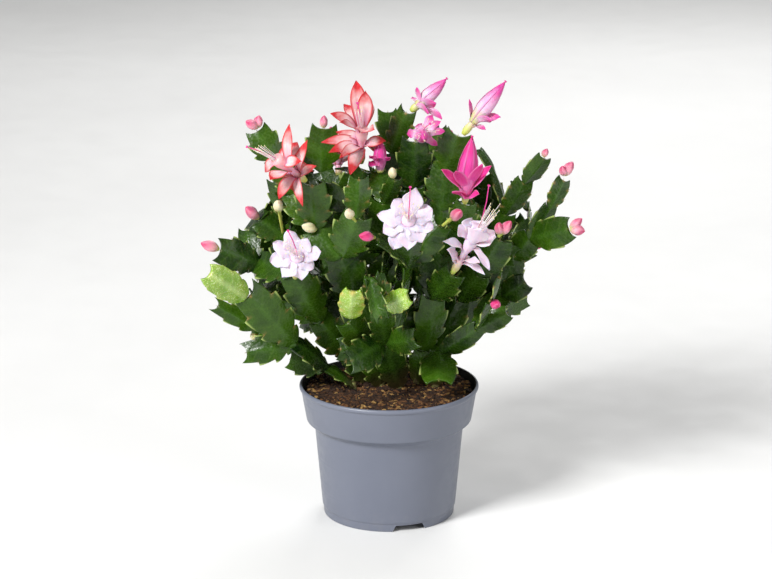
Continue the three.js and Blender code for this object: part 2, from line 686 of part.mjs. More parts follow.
// Grows the inner segments, as a list for each stem.
function grownInside() {
  const carriers = Object.entries(PADS).flatMap(([name, pads]) => pads.map((pad) => ({ name, pad })));
  const depths = frontDepths(carriers.map(({ pad }) => pad));
  const taken = carriers.map(({ pad }) => spots(pad));
  const blooms = Object.values(BLOOMS).flatMap(([stem, pad, tip]) =>
    ALONG_BLOOM.map((share) => PADS[stem][pad].end.clone().lerp(seen(...tip), share)),
  );
  const buds = Object.values(BUDS).flatMap(([, , , ...ends]) => ends.map(([x, h, y]) => seen(x, h, y)));
  buds.push(...Object.values(YOUNG).map(([, , tip]) => seen(...tip)));
  const inner = Object.fromEntries(Object.keys(PADS).map((name) => [name, []]));
  const roll = dice(INNER_SEED);
  let count = 0;
  for (let i = 0; i < INNER_TRIES && count < INNER_COUNT; i++) {
    const index = Math.floor(roll() * carriers.length);
    const pad = forked(carriers[index].pad, roll);
    const points = spots(pad);
    if (!withinPlant(points)) continue;
    const behind = points.every((point) => {
      const [column, row] = cellOf(point);
      return point.y > depths[column * CELLS[1] + row] + INNER_BEHIND;
    });
    if (!behind || points.some((point) => nearest(point, blooms) < INNER_OF_BLOOMS)) continue;
    if (points.some((point) => nearest(point, buds) < INNER_OF_BUDS)) continue;
    const others = taken.filter((_, j) => j !== index).flat();
    const gaps = points.map((point) => nearest(point, others));
    const far = Math.max(...gaps);
    if (Math.min(...gaps) < INNER_CLEAR || far < INNER_OUTER[0] || far > INNER_OUTER[1]) continue;
    carriers.push({ name: carriers[index].name, pad });
    taken.push(points);
    inner[carriers[index].name].push(pad);
    count++;
  }
  return inner;
}

// The base and the axis of what stands on a segment and points to `tip`.
function seatAt(base, tip) {
  const axis = tip.clone().sub(base);
  const reach = axis.length();
  return { base, axis: axis.normalize(), reach };
}

// Where something sits just off a segment's end, or on its face there if it points forwards.
function seatOn(stem, pad, tip, radius) {
  const { wide, end, frame } = PADS[stem][pad];
  const { along, across, out } = frame;
  const aim = tip.clone().sub(end).normalize();
  if (aim.dot(out) > FACE_ON) {
    const lift = RIB_THICKNESS / 2 + GAP + radius * aim.clone().cross(out).length();
    return seatAt(end.clone().addScaledVector(along, -FACE_BACK).addScaledVector(out, lift), tip);
  }
  const side = THREE.MathUtils.clamp(SEAT_SIDE * aim.dot(across), -SEAT_MOST, SEAT_MOST) * wide;
  const climb = Math.max(0, Math.abs(side) + radius - END_FLAT * wide) * END_SLOPE;
  const step = GAP + radius * aim.clone().cross(along).length() - END_DIP * frame.length + climb;
  return seatAt(end.clone().addScaledVector(along, step).addScaledVector(across, side), tip);
}

// Moves a geometry made along +Z to a base and an axis.
function placed(geometry, { base, axis }) {
  const turn = new THREE.Quaternion().setFromUnitVectors(new THREE.Vector3(0, 0, 1), axis);
  return solidOf(geometry.applyQuaternion(turn).translate(base.x, base.y, base.z));
}

function youngSegment([stem, pad, tip, wide, turn]) {
  const end = seen(...tip);
  const { base } = seatOn(stem, pad, end, YOUNG_FOOT);
  return padSolid(padFrame(base, end, FRONT, turn), wide, PAD_OUTLINE);
}

// A bud, or two on one foot, each pointed at its end and narrow where it sits.
function budSolid([stem, pad, , ...ends]) {
  const tips = ends.map(([x, h, y]) => seen(x, h, y));
  const middle = tips.reduce((sum, tip) => sum.add(tip), new THREE.Vector3()).divideScalar(tips.length);
  const spread = tips.length > 1 ? BUD_PAIR_FOOT : BUD_FOOT;
  const { base } = seatOn(stem, pad, middle, spread * ends[0][3]);
  const lobes = ends.map(([x, h, y, radius]) => {
    const seat = seatAt(base, seen(x, h, y));
    const shape = [
      [0, 0],
      [BUD_FOOT * radius, 0],
      [radius, 0.4 * seat.reach],
      [0.8 * radius, 0.75 * seat.reach],
      [0, seat.reach],
    ];
    return placed(lathed(shape, BUD_SIDES), seat);
  });
  return joined(lobes);
}

// A petal: a thin pointed blade from the flower's axis, bent once at its widest place. The turns are
// the angles between the flower's axis and the petal's lower and upper half.
function petal(around, rise, length, wide, lowTurn, highTurn) {
  const out = new THREE.Vector3(Math.cos(around), Math.sin(around), 0);
  const across = new THREE.Vector3(-Math.sin(around), Math.cos(around), 0);
  const lean = (turn) => out.clone().multiplyScalar(Math.sin(turn)).setZ(Math.cos(turn));
  const foot = out.clone().multiplyScalar(PETAL_START).setZ(rise);
  const bend = foot.clone().addScaledVector(lean(lowTurn), PETAL_BEND * length);
  const tip = bend.clone().addScaledVector(lean(highTurn), (1 - PETAL_BEND) * length);
  const points = [];
  for (const face of [0.5, -0.5]) {
    const level = (turn) => lean(turn - Math.PI / 2).multiplyScalar(face * PETAL_THICKNESS);
    const middle = level((lowTurn + highTurn) / 2).add(bend);
    points.push(foot.clone().add(level(lowTurn)));
    points.push(middle.clone().addScaledVector(across, wide / 2));
    points.push(middle.clone().addScaledVector(across, -wide / 2));
    points.push(tip.clone().add(level(highTurn)));
  }
  const geometry = new THREE.BufferGeometry().setFromPoints(points);
  const sheet = points.length / 2;
  const face = [0, 2, 1, 1, 2, 3];
  const under = [0, 1, 2, 1, 3, 2].map((i) => i + sheet);
  const edge = [0, 2, 3, 1];
  const walls = edge.flatMap((a, i) => {
    const b = edge[(i + 1) % edge.length];
    return [b, a, a + sheet, b, a + sheet, b + sheet];
  });
  geometry.setIndex([...face, ...under, ...walls]);
  return geometry;
}

// A flower: its tube, a lower and an upper tier of petals, and the stamens with the style.
function bloomSolid([stem, pad, tip, open]) {
  const seat = seatOn(stem, pad, seen(...tip), TUBE.foot);
  const { reach } = seat;
  const tube = [
    [0, 0],
    [TUBE.foot, 0],
    [TUBE.ovary, 0.14 * reach],
    [TUBE.neck, 0.24 * reach],
    [TUBE.throat, 0.52 * reach],
    [0, 0.62 * reach],
  ];
  const solids = [placed(lathed(tube, TUBE_SIDES), seat)];
  for (const { count, rise, length, wide, closed, opened, first } of TIERS)
    for (let i = 0; i < count; i++) {
      const turns = closed.map((turn, k) => THREE.MathUtils.degToRad(turn + open * (opened[k] - turn)));
      const around = ((i + first) * 2 * Math.PI) / count;
      const grown = length * reach * (1 + 0.08 * Math.sin(3 * i + 2 * first));
      const width = wide * reach * (PETAL_SHUT + (1 - PETAL_SHUT) * open);
      solids.push(placed(petal(around, rise * reach, grown, width, ...turns), seat));
    }
  const long = THREE.MathUtils.lerp(STYLE.shut, STYLE.open, open) * reach;
  const style = new THREE.CylinderGeometry(STYLE.tip, STYLE.foot, long, STYLE_SIDES);
  style.rotateX(Math.PI / 2).translate(0, 0, STYLE.rise * reach + long / 2);
  solids.push(placed(style, seat));
  return joined(solids).simplify(JOINT_TOLERANCE);
}

const plant = new THREE.Group();
function addPiece(name, solid, colour, roughness) {
  const mesh = new THREE.Mesh(geometryOf(solid), material(colour, roughness));
  mesh.name = name;
  plant.add(mesh);
}

addPiece("pot", pot(), COLOURS.pot, 0.55);
addPiece("soil", soil(), COLOURS.soil, 0.95);
const inner = grownInside();
for (const [name, { root }] of Object.entries(STEMS)) {
  const outline = root[1] > BACK_ROOT ? PLAIN_OUTLINE : PAD_OUTLINE;
  addPiece(name, stemSolid(root, PADS[name], inner[name], outline), COLOURS.pad, 0.45);
}
for (const [name, young] of Object.entries(YOUNG)) addPiece(name, youngSegment(young), COLOURS.lime, 0.45);
for (const [name, bloom] of Object.entries(BLOOMS)) addPiece(name, bloomSolid(bloom), bloom[4], 0.6);
for (const [name, bud] of Object.entries(BUDS)) addPiece(name, budSolid(bud), bud[2], 0.5);

export default plant;
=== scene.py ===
"""A christmas cactus in bloom in a round nursery pot, dressed for rendering.

Everything is in metres, +Z up, with the plant's front facing -Y and the origin under the middle of the pot.
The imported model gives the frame. The pot, the soil, the leafy stems, the young segments, the flowers and the
buds are modelled here again in finer form, each in the place of its node.
"""

import logging
import math
from dataclasses import dataclass, field
from enum import Enum
from functools import cached_property

import bpy
import numpy as np
from mathutils import Matrix, Vector


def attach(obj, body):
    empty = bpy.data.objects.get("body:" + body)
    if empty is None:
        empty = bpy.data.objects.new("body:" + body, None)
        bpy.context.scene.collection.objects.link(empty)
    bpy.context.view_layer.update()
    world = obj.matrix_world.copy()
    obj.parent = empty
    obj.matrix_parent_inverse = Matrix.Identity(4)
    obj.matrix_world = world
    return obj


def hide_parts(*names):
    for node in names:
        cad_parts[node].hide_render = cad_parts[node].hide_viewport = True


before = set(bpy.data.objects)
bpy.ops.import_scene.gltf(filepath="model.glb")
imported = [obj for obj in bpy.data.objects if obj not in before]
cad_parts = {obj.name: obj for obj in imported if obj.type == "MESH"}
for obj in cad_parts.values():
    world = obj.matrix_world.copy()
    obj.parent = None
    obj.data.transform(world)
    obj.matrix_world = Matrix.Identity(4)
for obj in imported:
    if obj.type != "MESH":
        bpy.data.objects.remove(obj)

log = logging.getLogger("christmas_cactus")

Colour = tuple[float, float, float]
Place = tuple[float, float, float]

# The view in which places on the plant are given, the gap between neighbours, and the soil's height
VIEW_TILT = math.radians(16)
VIEW_DISTANCE = 1.8
VIEW_CENTRE = 0.155
GAP = 0.00035
SOIL_LEVEL = 0.0855


class Facing(Enum):
    """The way in which the segments of a stem turn their faces."""

    FRONT = (0.0, -1.0, 0.3)
    BACK = (0.0, 1.0, 0.3)


class Slot(Enum):
    """The material slots of the record."""

    POT = "pot_plastic"
    SOIL = "peat"
    SEGMENT = "green_segment"
    YOUNG = "young_segment"
    RED = "red_petal"
    PINK = "pink_petal"
    MAGENTA = "magenta_petal"
    WHITE = "white_petal"
    PINK_BUD = "pink_bud"
    CREAM_BUD = "cream_bud"


def seen(x: float, h: float, y: float) -> Vector:
    """Turns a place as it is seen from the front into a point.

    Args:
        x: Distance to the right, as measured at the pot's axis.
        h: Height, as measured at the pot's axis.
        y: Distance away from the viewer.

    Returns:
        The point.
    """
    sin, cos = math.sin(VIEW_TILT), math.cos(VIEW_TILT)
    slope = (h - VIEW_CENTRE) * cos / VIEW_DISTANCE
    way = (y + VIEW_DISTANCE * cos) / (cos + slope * sin)
    return Vector((x * way / VIEW_DISTANCE, y, VIEW_CENTRE + VIEW_DISTANCE * sin + way * (slope * cos - sin)))


# Layout of the plant


@dataclass(frozen=True)
class Pad:
    """A segment: the one it grows on (-1: the crown), its end as seen, its width and its turn in degrees."""

    on: int
    x: float
    h: float
    y: float
    wide: float
    turn: float


@dataclass(frozen=True)
class Young:
    """A young segment: what carries it, its end as seen, and its width."""

    name: str
    stem: str
    pad: int
    tip: Place
    wide: float


@dataclass(frozen=True)
class Lobe:
    """A bud's end as seen, and its greatest radius."""

    x: float
    h: float
    y: float
    radius: float


class BudKind(Enum):
    """The colours that buds have."""

    PALE = "pale"
    CREAM = "cream"
    DEEP = "deep"


@dataclass(frozen=True)
class Bud:
    """A bud, or two on one foot, and what carries it."""

    name: str
    stem: str
    pad: int
    kind: BudKind
    lobes: tuple[Lobe, ...]


# Segments and what sits on them


@dataclass(frozen=True)
class SegmentFrame:
    """Where a segment lies: its foot, its length along `along`, its face `out` and its side `across`."""

    foot: Vector
    along: Vector
    length: float
    out: Vector
    across: Vector
    end: Vector
    wide: float

    @classmethod
    def between(cls, foot: Vector, end: Vector, face: Vector, turn: float, wide: float) -> "SegmentFrame":
        """Lays a segment between two points.

        Args:
            foot: Where it starts.
            end: Where it ends.
            face: The way that its face is turned to.
            turn: Turn about its length, in degrees.
            wide: Its width.

        Returns:
            The segment's frame.
        """
        along = end - foot
        length = along.length
        along.normalize()
        out = (face - along * face.dot(along)).normalized()
        out.rotate(Matrix.Rotation(math.radians(turn), 3, along))
        return cls(foot, along, length, out, along.cross(out), end, wide)


@dataclass(frozen=True)
class Stem:
    """A leafy stem: the place of its root on the soil, the way it faces, and its segments."""

    name: str
    root: tuple[float, float]
    face: Facing
    pads: tuple[Pad, ...]
    setback: float = 0.0009
    notch: float = 0.12
    root_depth: float = 0.0012
    crown_rise: float = 0.001

    @cached_property
    def frames(self) -> tuple[SegmentFrame, ...]:
        """The frames of all its segments, each with its foot sunk into what it grows on."""
        crown = Vector((*self.root, SOIL_LEVEL + self.crown_rise))
        made: list[SegmentFrame] = []
        for pad in self.pads:
            end = seen(pad.x, pad.h, pad.y)
            joint = crown if pad.on < 0 else made[pad.on].end
            step = (end - joint).normalized()
            foot = joint - step * self.root_depth
            if pad.on >= 0:
                parent = made[pad.on]
                foot -= parent.along * self.setback
                foot += parent.across * (parent.across.dot(step) * self.notch * parent.wide)
            made.append(SegmentFrame.between(foot, end, Vector(self.face.value), pad.turn, pad.wide))
        return tuple(made)


@dataclass(frozen=True)
class Seat:
    """Where something sits on a segment: its base, the axis to its tip, and its length."""

    base: Vector
    axis: Vector
    reach: float
    side_share: float = 0.3
    side_most: float = 0.2
    end_dip: float = 0.03
    end_flat: float = 0.13
    end_slope: float = 0.7
    face_on: float = 0.6
    face_back: float = 0.002
    face_rise: float = 0.00155

    @classmethod
    def to(cls, base: Vector, tip: Vector) -> "Seat":
        """Returns the seat at `base` whose axis points to `tip`."""
        axis = tip - base
        return cls(base, axis.normalized(), axis.length)

    @classmethod
    def on(cls, carrier: SegmentFrame, tip: Vector, radius: float) -> "Seat":
        """Seats something off a segment's end, or on its face there if it points forwards.

        Args:
            carrier: The segment that carries it.
            tip: Where it points to.
            radius: The radius of its foot.

        Returns:
            The seat.
        """
        aim = (tip - carrier.end).normalized()
        if aim.dot(carrier.out) > cls.face_on:
            lift = cls.face_rise + radius * aim.cross(carrier.out).length
            return cls.to(carrier.end - carrier.along * cls.face_back + carrier.out * lift, tip)
        share = max(-cls.side_most, min(cls.side_most, cls.side_share * aim.dot(carrier.across)))
        side = share * carrier.wide
        climb = max(0.0, abs(side) + radius - cls.end_flat * carrier.wide) * cls.end_slope
        step = GAP + radius * aim.cross(carrier.along).length - cls.end_dip * carrier.length + climb
        return cls.to(carrier.end + carrier.along * step + carrier.across * side, tip)


STEMS = (
    Stem(
        "stem_low_left",
        (-0.024, 0.003),
        Facing.FRONT,
        (
            Pad(-1, -0.042, 0.101, -0.006, 0.015, 65),
            Pad(0, -0.063, 0.118, -0.024, 0.018, 45),
            Pad(1, -0.094, 0.152, -0.044, 0.029, 8),
            Pad(1, -0.084, 0.127, 0.0, 0.022, 25),
            Pad(3, -0.115, 0.144, -0.010, 0.014, 0),
            Pad(1, -0.096, 0.111, -0.026, 0.020, 0),
            Pad(0, -0.066, 0.107, 0.012, 0.020, 5),
        ),
    ),
    Stem(
        "stem_mid_left",
        (-0.014, 0.016),
        Facing.FRONT,
        (
            Pad(-1, -0.028, 0.111, 0.008, 0.020, 30),
            Pad(0, -0.046, 0.134, -0.008, 0.024, 10),
            Pad(1, -0.064, 0.166, -0.030, 0.026, 0),
            Pad(2, -0.087, 0.174, -0.002, 0.024, 20),
            Pad(2, -0.070, 0.194, 0.004, 0.024, -10),
            Pad(4, -0.086, 0.203, 0.004, 0.022, 15),
            Pad(3, -0.113, 0.182, -0.012, 0.024, 12),
        ),
    ),
    Stem(
        "stem_centre_left",
        (-0.005, 0.006),
        Facing.FRONT,
        (
            Pad(-1, -0.013, 0.114, -0.006, 0.022, 20),
            Pad(0, -0.022, 0.150, -0.026, 0.026, -10),
            Pad(1, -0.032, 0.178, -0.034, 0.028, 0),
            Pad(2, -0.050, 0.197, -0.026, 0.026, 10),
            Pad(3, -0.064, 0.222, -0.014, 0.023, 10),
            Pad(4, -0.075, 0.243, -0.008, 0.020, 30),
            Pad(5, -0.088, 0.265, -0.004, 0.022, 5),
            Pad(3, -0.051, 0.228, -0.036, 0.025, -10),
            Pad(2, -0.021, 0.205, -0.052, 0.028, 0),
            Pad(8, -0.020, 0.232, -0.046, 0.019, 10),
            Pad(0, -0.028, 0.133, -0.038, 0.022, 10),
        ),
    ),
    Stem(
        "stem_centre",
        (0.007, 0.0),
        Facing.FRONT,
        (
            Pad(-1, -0.003, 0.118, -0.022, 0.022, 0),
            Pad(0, -0.026, 0.105, -0.050, 0.024, 0),
            Pad(0, 0.017, 0.121, -0.052, 0.020, 10),
            Pad(0, 0.010, 0.148, -0.014, 0.020, 60),
            Pad(3, 0.012, 0.172, -0.030, 0.020, 75),
            Pad(4, -0.009, 0.190, -0.064, 0.020, 75),
            Pad(0, -0.006, 0.141, -0.044, 0.019, 10),
            Pad(6, -0.011, 0.163, -0.058, 0.016, 30),
            Pad(7, -0.005, 0.135, -0.072, 0.015, 40),
            Pad(4, 0.014, 0.194, -0.052, 0.019, 20),
            Pad(4, 0.034, 0.200, -0.032, 0.023, -5),
        ),
    ),
    Stem(
        "stem_top",
        (0.005, 0.026),
        Facing.FRONT,
        (
            Pad(-1, 0.004, 0.115, 0.022, 0.020, 30),
            Pad(0, 0.0, 0.148, 0.016, 0.026, 0),
            Pad(1, -0.004, 0.182, 0.006, 0.028, 10),
            Pad(2, -0.004, 0.216, -0.010, 0.026, 0),
            Pad(3, 0.004, 0.231, -0.024, 0.013, 20),
            Pad(2, 0.012, 0.204, 0.022, 0.026, -10),
            Pad(5, 0.017, 0.226, 0.012, 0.020, 0),
            Pad(6, 0.017, 0.258, 0.0, 0.025, 0),
            Pad(6, 0.001, 0.250, 0.026, 0.022, 20),
            Pad(8, -0.001, 0.278, 0.038, 0.020, 20),
            Pad(8, 0.012, 0.278, 0.016, 0.018, -10),
            Pad(3, -0.006, 0.236, 0.006, 0.018, 0),
        ),
    ),
    Stem(
        "stem_centre_right",
        (0.019, 0.012),
        Facing.FRONT,
        (
            Pad(-1, 0.024, 0.114, 0.006, 0.020, -20),
            Pad(0, 0.029, 0.150, -0.008, 0.024, 20),
            Pad(1, 0.033, 0.182, -0.004, 0.026, 0),
            Pad(2, 0.035, 0.211, -0.004, 0.024, 10),
            Pad(3, 0.037, 0.238, -0.002, 0.026, -5),
            Pad(4, 0.046, 0.262, -0.012, 0.025, 0),
            Pad(4, 0.032, 0.265, 0.028, 0.020, -10),
            Pad(2, 0.047, 0.194, -0.016, 0.020, -20),
            Pad(7, 0.051, 0.214, -0.030, 0.020, 0),
            Pad(1, 0.043, 0.166, -0.048, 0.022, 0),
        ),
    ),
    Stem(
        "stem_right",
        (0.031, 0.005),
        Facing.FRONT,
        (
            Pad(-1, 0.033, 0.112, -0.006, 0.018, 10),
            Pad(0, 0.033, 0.091, -0.036, 0.026, 0),
            Pad(0, 0.059, 0.128, -0.020, 0.016, 10),
            Pad(2, 0.079, 0.139, -0.022, 0.015, 0),
            Pad(2, 0.067, 0.147, -0.042, 0.014, 75),
            Pad(4, 0.073, 0.164, -0.050, 0.014, 80),
            Pad(2, 0.074, 0.151, 0.010, 0.019, -20),
            Pad(6, 0.091, 0.160, -0.004, 0.018, 0),
            Pad(6, 0.082, 0.178, 0.008, 0.022, 10),
            Pad(8, 0.094, 0.191, -0.004, 0.020, 0),
            Pad(9, 0.107, 0.212, -0.006, 0.015, 30),
            Pad(10, 0.116, 0.231, 0.0, 0.013, 20),
            Pad(9, 0.120, 0.197, -0.026, 0.022, 5),
        ),
    ),
    Stem(
        "stem_far_right",
        (0.022, 0.026),
        Facing.FRONT,
        (
            Pad(-1, 0.033, 0.118, 0.020, 0.020, 0),
            Pad(0, 0.046, 0.149, 0.014, 0.024, -10),
            Pad(1, 0.060, 0.166, -0.014, 0.022, 0),
            Pad(2, 0.074, 0.190, -0.024, 0.025, -5),
            Pad(1, 0.062, 0.181, 0.030, 0.022, 0),
            Pad(4, 0.078, 0.208, 0.024, 0.020, 10),
            Pad(5, 0.070, 0.233, 0.032, 0.014, 65),
            Pad(6, 0.060, 0.251, 0.036, 0.014, 65),
            Pad(5, 0.090, 0.230, 0.012, 0.017, 20),
            Pad(8, 0.103, 0.246, 0.008, 0.015, 30),
        ),
    ),
    Stem(
        "stem_far_left",
        (-0.017, 0.030),
        Facing.FRONT,
        (
            Pad(-1, -0.025, 0.117, 0.028, 0.020, 10),
            Pad(0, -0.033, 0.149, 0.026, 0.024, -10),
            Pad(1, -0.038, 0.181, 0.020, 0.026, 10),
            Pad(2, -0.036, 0.210, 0.012, 0.026, 0),
            Pad(3, -0.046, 0.237, 0.024, 0.025, -10),
            Pad(4, -0.043, 0.267, 0.022, 0.025, 0),
            Pad(3, -0.016, 0.238, 0.008, 0.022, 10),
        ),
    ),
    Stem(
        "stem_back_left",
        (-0.020, 0.040),
        Facing.BACK,
        (
            Pad(-1, -0.028, 0.118, 0.042, 0.020, 0),
            Pad(0, -0.042, 0.146, 0.050, 0.026, 10),
            Pad(1, -0.056, 0.174, 0.056, 0.027, -10),
            Pad(2, -0.066, 0.202, 0.058, 0.026, 0),
            Pad(3, -0.068, 0.228, 0.052, 0.022, 15),
            Pad(1, -0.064, 0.144, 0.072, 0.024, 0),
            Pad(5, -0.084, 0.150, 0.090, 0.024, 0),
            Pad(2, -0.034, 0.200, 0.062, 0.025, 10),
            Pad(7, -0.030, 0.230, 0.058, 0.024, -10),
        ),
    ),
    Stem(
        "stem_back",
        (0.002, 0.044),
        Facing.BACK,
        (
            Pad(-1, 0.004, 0.120, 0.052, 0.020, 0),
            Pad(0, 0.008, 0.150, 0.062, 0.026, 10),
            Pad(1, 0.006, 0.182, 0.062, 0.027, 0),
            Pad(2, 0.0, 0.214, 0.060, 0.026, -10),
            Pad(3, 0.010, 0.244, 0.056, 0.025, 0),
            Pad(2, 0.030, 0.204, 0.074, 0.025, 10),
            Pad(5, 0.036, 0.232, 0.074, 0.024, 0),
            Pad(0, -0.014, 0.144, 0.080, 0.025, 0),
            Pad(7, -0.020, 0.166, 0.102, 0.024, 10),
            Pad(0, 0.026, 0.140, 0.084, 0.024, 0),
            Pad(9, 0.038, 0.158, 0.108, 0.024, 0),
        ),
    ),
    Stem(
        "stem_back_right",
        (0.024, 0.040),
        Facing.BACK,
        (
            Pad(-1, 0.036, 0.118, 0.040, 0.020, 0),
            Pad(0, 0.056, 0.144, 0.044, 0.026, 0),
            Pad(1, 0.066, 0.172, 0.048, 0.026, 10),
            Pad(2, 0.070, 0.204, 0.044, 0.025, 0),
            Pad(3, 0.062, 0.234, 0.046, 0.024, 0),
            Pad(2, 0.094, 0.184, 0.058, 0.024, 0),
            Pad(1, 0.074, 0.140, 0.066, 0.024, 0),
            Pad(6, 0.092, 0.150, 0.082, 0.024, 0),
        ),
    ),
)

YOUNG = (
    Young("young_left", "stem_low_left", 2, (-0.120, 0.166, -0.066), 0.021),
    Young("young_centre", "stem_centre_left", 10, (-0.024, 0.154, -0.054), 0.018),
    Young("young_right", "stem_centre", 6, (0.013, 0.150, -0.058), 0.016),
)

BUDS = (
    Bud(
        "bud_pair_upper_left",
        "stem_centre_left",
        6,
        BudKind.PALE,
        (Lobe(-0.095, 0.271, -0.009, 0.0032), Lobe(-0.086, 0.275, -0.003, 0.0031)),
    ),
    Bud("bud_red_left", "stem_mid_left", 5, BudKind.PALE, (Lobe(-0.095, 0.212, -0.002, 0.0036),)),
    Bud("bud_salmon_left", "stem_mid_left", 6, BudKind.PALE, (Lobe(-0.125, 0.187, -0.014, 0.0035),)),
    Bud("bud_cream_left", "stem_mid_left", 4, BudKind.CREAM, (Lobe(-0.074, 0.216, -0.024, 0.0032),)),
    Bud("bud_pale_top", "stem_far_left", 5, BudKind.PALE, (Lobe(-0.043, 0.275, 0.022, 0.0026),)),
    Bud("bud_cream_centre", "stem_centre_left", 8, BudKind.CREAM, (Lobe(-0.028, 0.209, -0.070, 0.003),)),
    Bud("bud_cream_small", "stem_top", 4, BudKind.CREAM, (Lobe(0.002, 0.239, -0.028, 0.0026),)),
    Bud("bud_magenta", "stem_centre", 5, BudKind.DEEP, (Lobe(-0.020, 0.192, -0.070, 0.0031),)),
    Bud("bud_pink_centre", "stem_centre", 10, BudKind.PALE, (Lobe(0.048, 0.209, -0.050, 0.0035),)),
    Bud("bud_pale_tip", "stem_far_right", 9, BudKind.PALE, (Lobe(0.105, 0.252, 0.008, 0.0022),)),
    Bud(
        "bud_pair_right",
        "stem_right",
        11,
        BudKind.PALE,
        (Lobe(0.122, 0.243, 0.0, 0.0033), Lobe(0.115, 0.240, -0.004, 0.0026)),
    ),
    Bud(
        "bud_pair_far_right",
        "stem_right",
        12,
        BudKind.PALE,
        (Lobe(0.128, 0.204, -0.026, 0.0028), Lobe(0.130, 0.195, -0.029, 0.0036)),
    ),
    Bud(
        "bud_two_lobed",
        "stem_far_right",
        3,
        BudKind.PALE,
        (Lobe(0.073, 0.201, -0.030, 0.0028), Lobe(0.081, 0.202, -0.028, 0.0032)),
    ),
    Bud("bud_low_right", "stem_right", 4, BudKind.DEEP, (Lobe(0.073, 0.145, -0.050, 0.003),)),
    Bud("bud_cream_low", "stem_low_left", 3, BudKind.CREAM, (Lobe(-0.091, 0.121, 0.004, 0.003),)),
    Bud("bud_cream_upper", "stem_centre_left", 3, BudKind.CREAM, (Lobe(-0.058, 0.199, -0.034, 0.0032),)),
    Bud("bud_back_left", "stem_back_left", 4, BudKind.PALE, (Lobe(-0.070, 0.238, 0.050, 0.0034),)),
    Bud("bud_back_low", "stem_back", 8, BudKind.CREAM, (Lobe(-0.023, 0.173, 0.112, 0.0032),)),
    Bud("bud_back_centre", "stem_back", 4, BudKind.PALE, (Lobe(0.011, 0.254, 0.060, 0.0034),)),
    Bud("bud_back_low_right", "stem_back", 10, BudKind.PALE, (Lobe(0.042, 0.166, 0.118, 0.0034),)),
    Bud("bud_back_right", "stem_back_right", 5, BudKind.DEEP, (Lobe(0.104, 0.189, 0.062, 0.0036),)),
)


# Making meshes


def alone() -> None:
    """Leaves edit mode and deselects everything."""
    if bpy.context.mode != "OBJECT":
        bpy.ops.object.mode_set(mode="OBJECT")
    bpy.ops.object.select_all(action="DESELECT")


@dataclass(frozen=True)
class Shape:
    """Points and faces of a shape that is modelled once and then copied."""

    points: np.ndarray
    faces: tuple[tuple[int, ...], ...]

    @classmethod
    def taken(cls, made: bpy.types.Object) -> "Shape":
        """Takes the points and faces of an object, and removes it."""
        alone()
        mesh = made.data
        points = np.empty(len(mesh.vertices) * 3)
        mesh.vertices.foreach_get("co", points)
        faces = tuple(tuple(face.vertices) for face in mesh.polygons)
        bpy.data.objects.remove(made)
        bpy.data.meshes.remove(mesh)
        return cls(points.reshape(-1, 3), faces)


def blade_shape(columns: int, rows: int) -> Shape:
    """Models a flat blade with two faces, as a sheet of unit size with a hair's thickness.

    Args:
        columns: Faces across it.
        rows: Faces along it.

    Returns:
        Its points, with x from -1 to 1 across, y from 0 to 1 along and the sign of z for its face.
    """
    alone()
    bpy.ops.mesh.primitive_grid_add(x_subdivisions=columns, y_subdivisions=rows, size=2)
    blade = bpy.context.object
    bpy.ops.object.mode_set(mode="EDIT")
    bpy.ops.mesh.select_all(action="SELECT")
    bpy.ops.transform.resize(value=(1, 0.5, 1), center_override=(0, 0, 0))
    bpy.ops.transform.translate(value=(0, 0.5, 0))
    bpy.ops.object.mode_set(mode="OBJECT")
    sheet = blade.modifiers.new("sheet", "SOLIDIFY")
    sheet.thickness = 0.01
    sheet.offset = 0
    bpy.ops.object.modifier_apply(modifier=sheet.name)
    return Shape.taken(blade)


def tube_shape(sides: int, rings: int) -> Shape:
    """Models a closed tube of radius 1 and length 1 along z.

    Args:
        sides: Faces round it.
        rings: Stretches along it.

    Returns:
        Its points and faces.
    """
    alone()
    bpy.ops.mesh.primitive_circle_add(vertices=sides, radius=1, fill_type="NGON")
    tube = bpy.context.object
    bpy.ops.object.mode_set(mode="EDIT")
    bpy.ops.mesh.select_all(action="SELECT")
    bpy.ops.mesh.flip_normals()
    for _ in range(rings):
        step = {"value": (0, 0, 1 / rings)}
        bpy.ops.mesh.extrude_region_move(TRANSFORM_OT_translate=step)
    bpy.ops.mesh.select_all(action="SELECT")
    bpy.ops.mesh.normals_make_consistent(inside=False)
    bpy.ops.object.mode_set(mode="OBJECT")
    return Shape.taken(tube)


def ball_shape(segments: int, rings: int) -> Shape:
    """Models a ball of radius 1 round the z axis.

    Args:
        segments: Faces round it.
        rings: Faces from pole to pole.

    Returns:
        Its points and faces.
    """
    alone()
    bpy.ops.mesh.primitive_uv_sphere_add(segments=segments, ring_count=rings, radius=1)
    return Shape.taken(bpy.context.object)


def crumb_shape(seed: int) -> Shape:
    """Models a rough crumb of about unit radius.

    Args:
        seed: Seed of its shape.

    Returns:
        Its points and faces.
    """
    alone()
    bpy.ops.mesh.primitive_ico_sphere_add(subdivisions=1, radius=1)
    crumb = bpy.context.object
    bpy.ops.object.mode_set(mode="EDIT")
    bpy.ops.mesh.select_all(action="SELECT")
    bpy.ops.transform.vertex_random(offset=0.45, seed=seed)
    bpy.ops.transform.resize(value=(1, 0.75, 0.6), center_override=(0, 0, 0))
    bpy.ops.object.mode_set(mode="OBJECT")
    return Shape.taken(crumb)


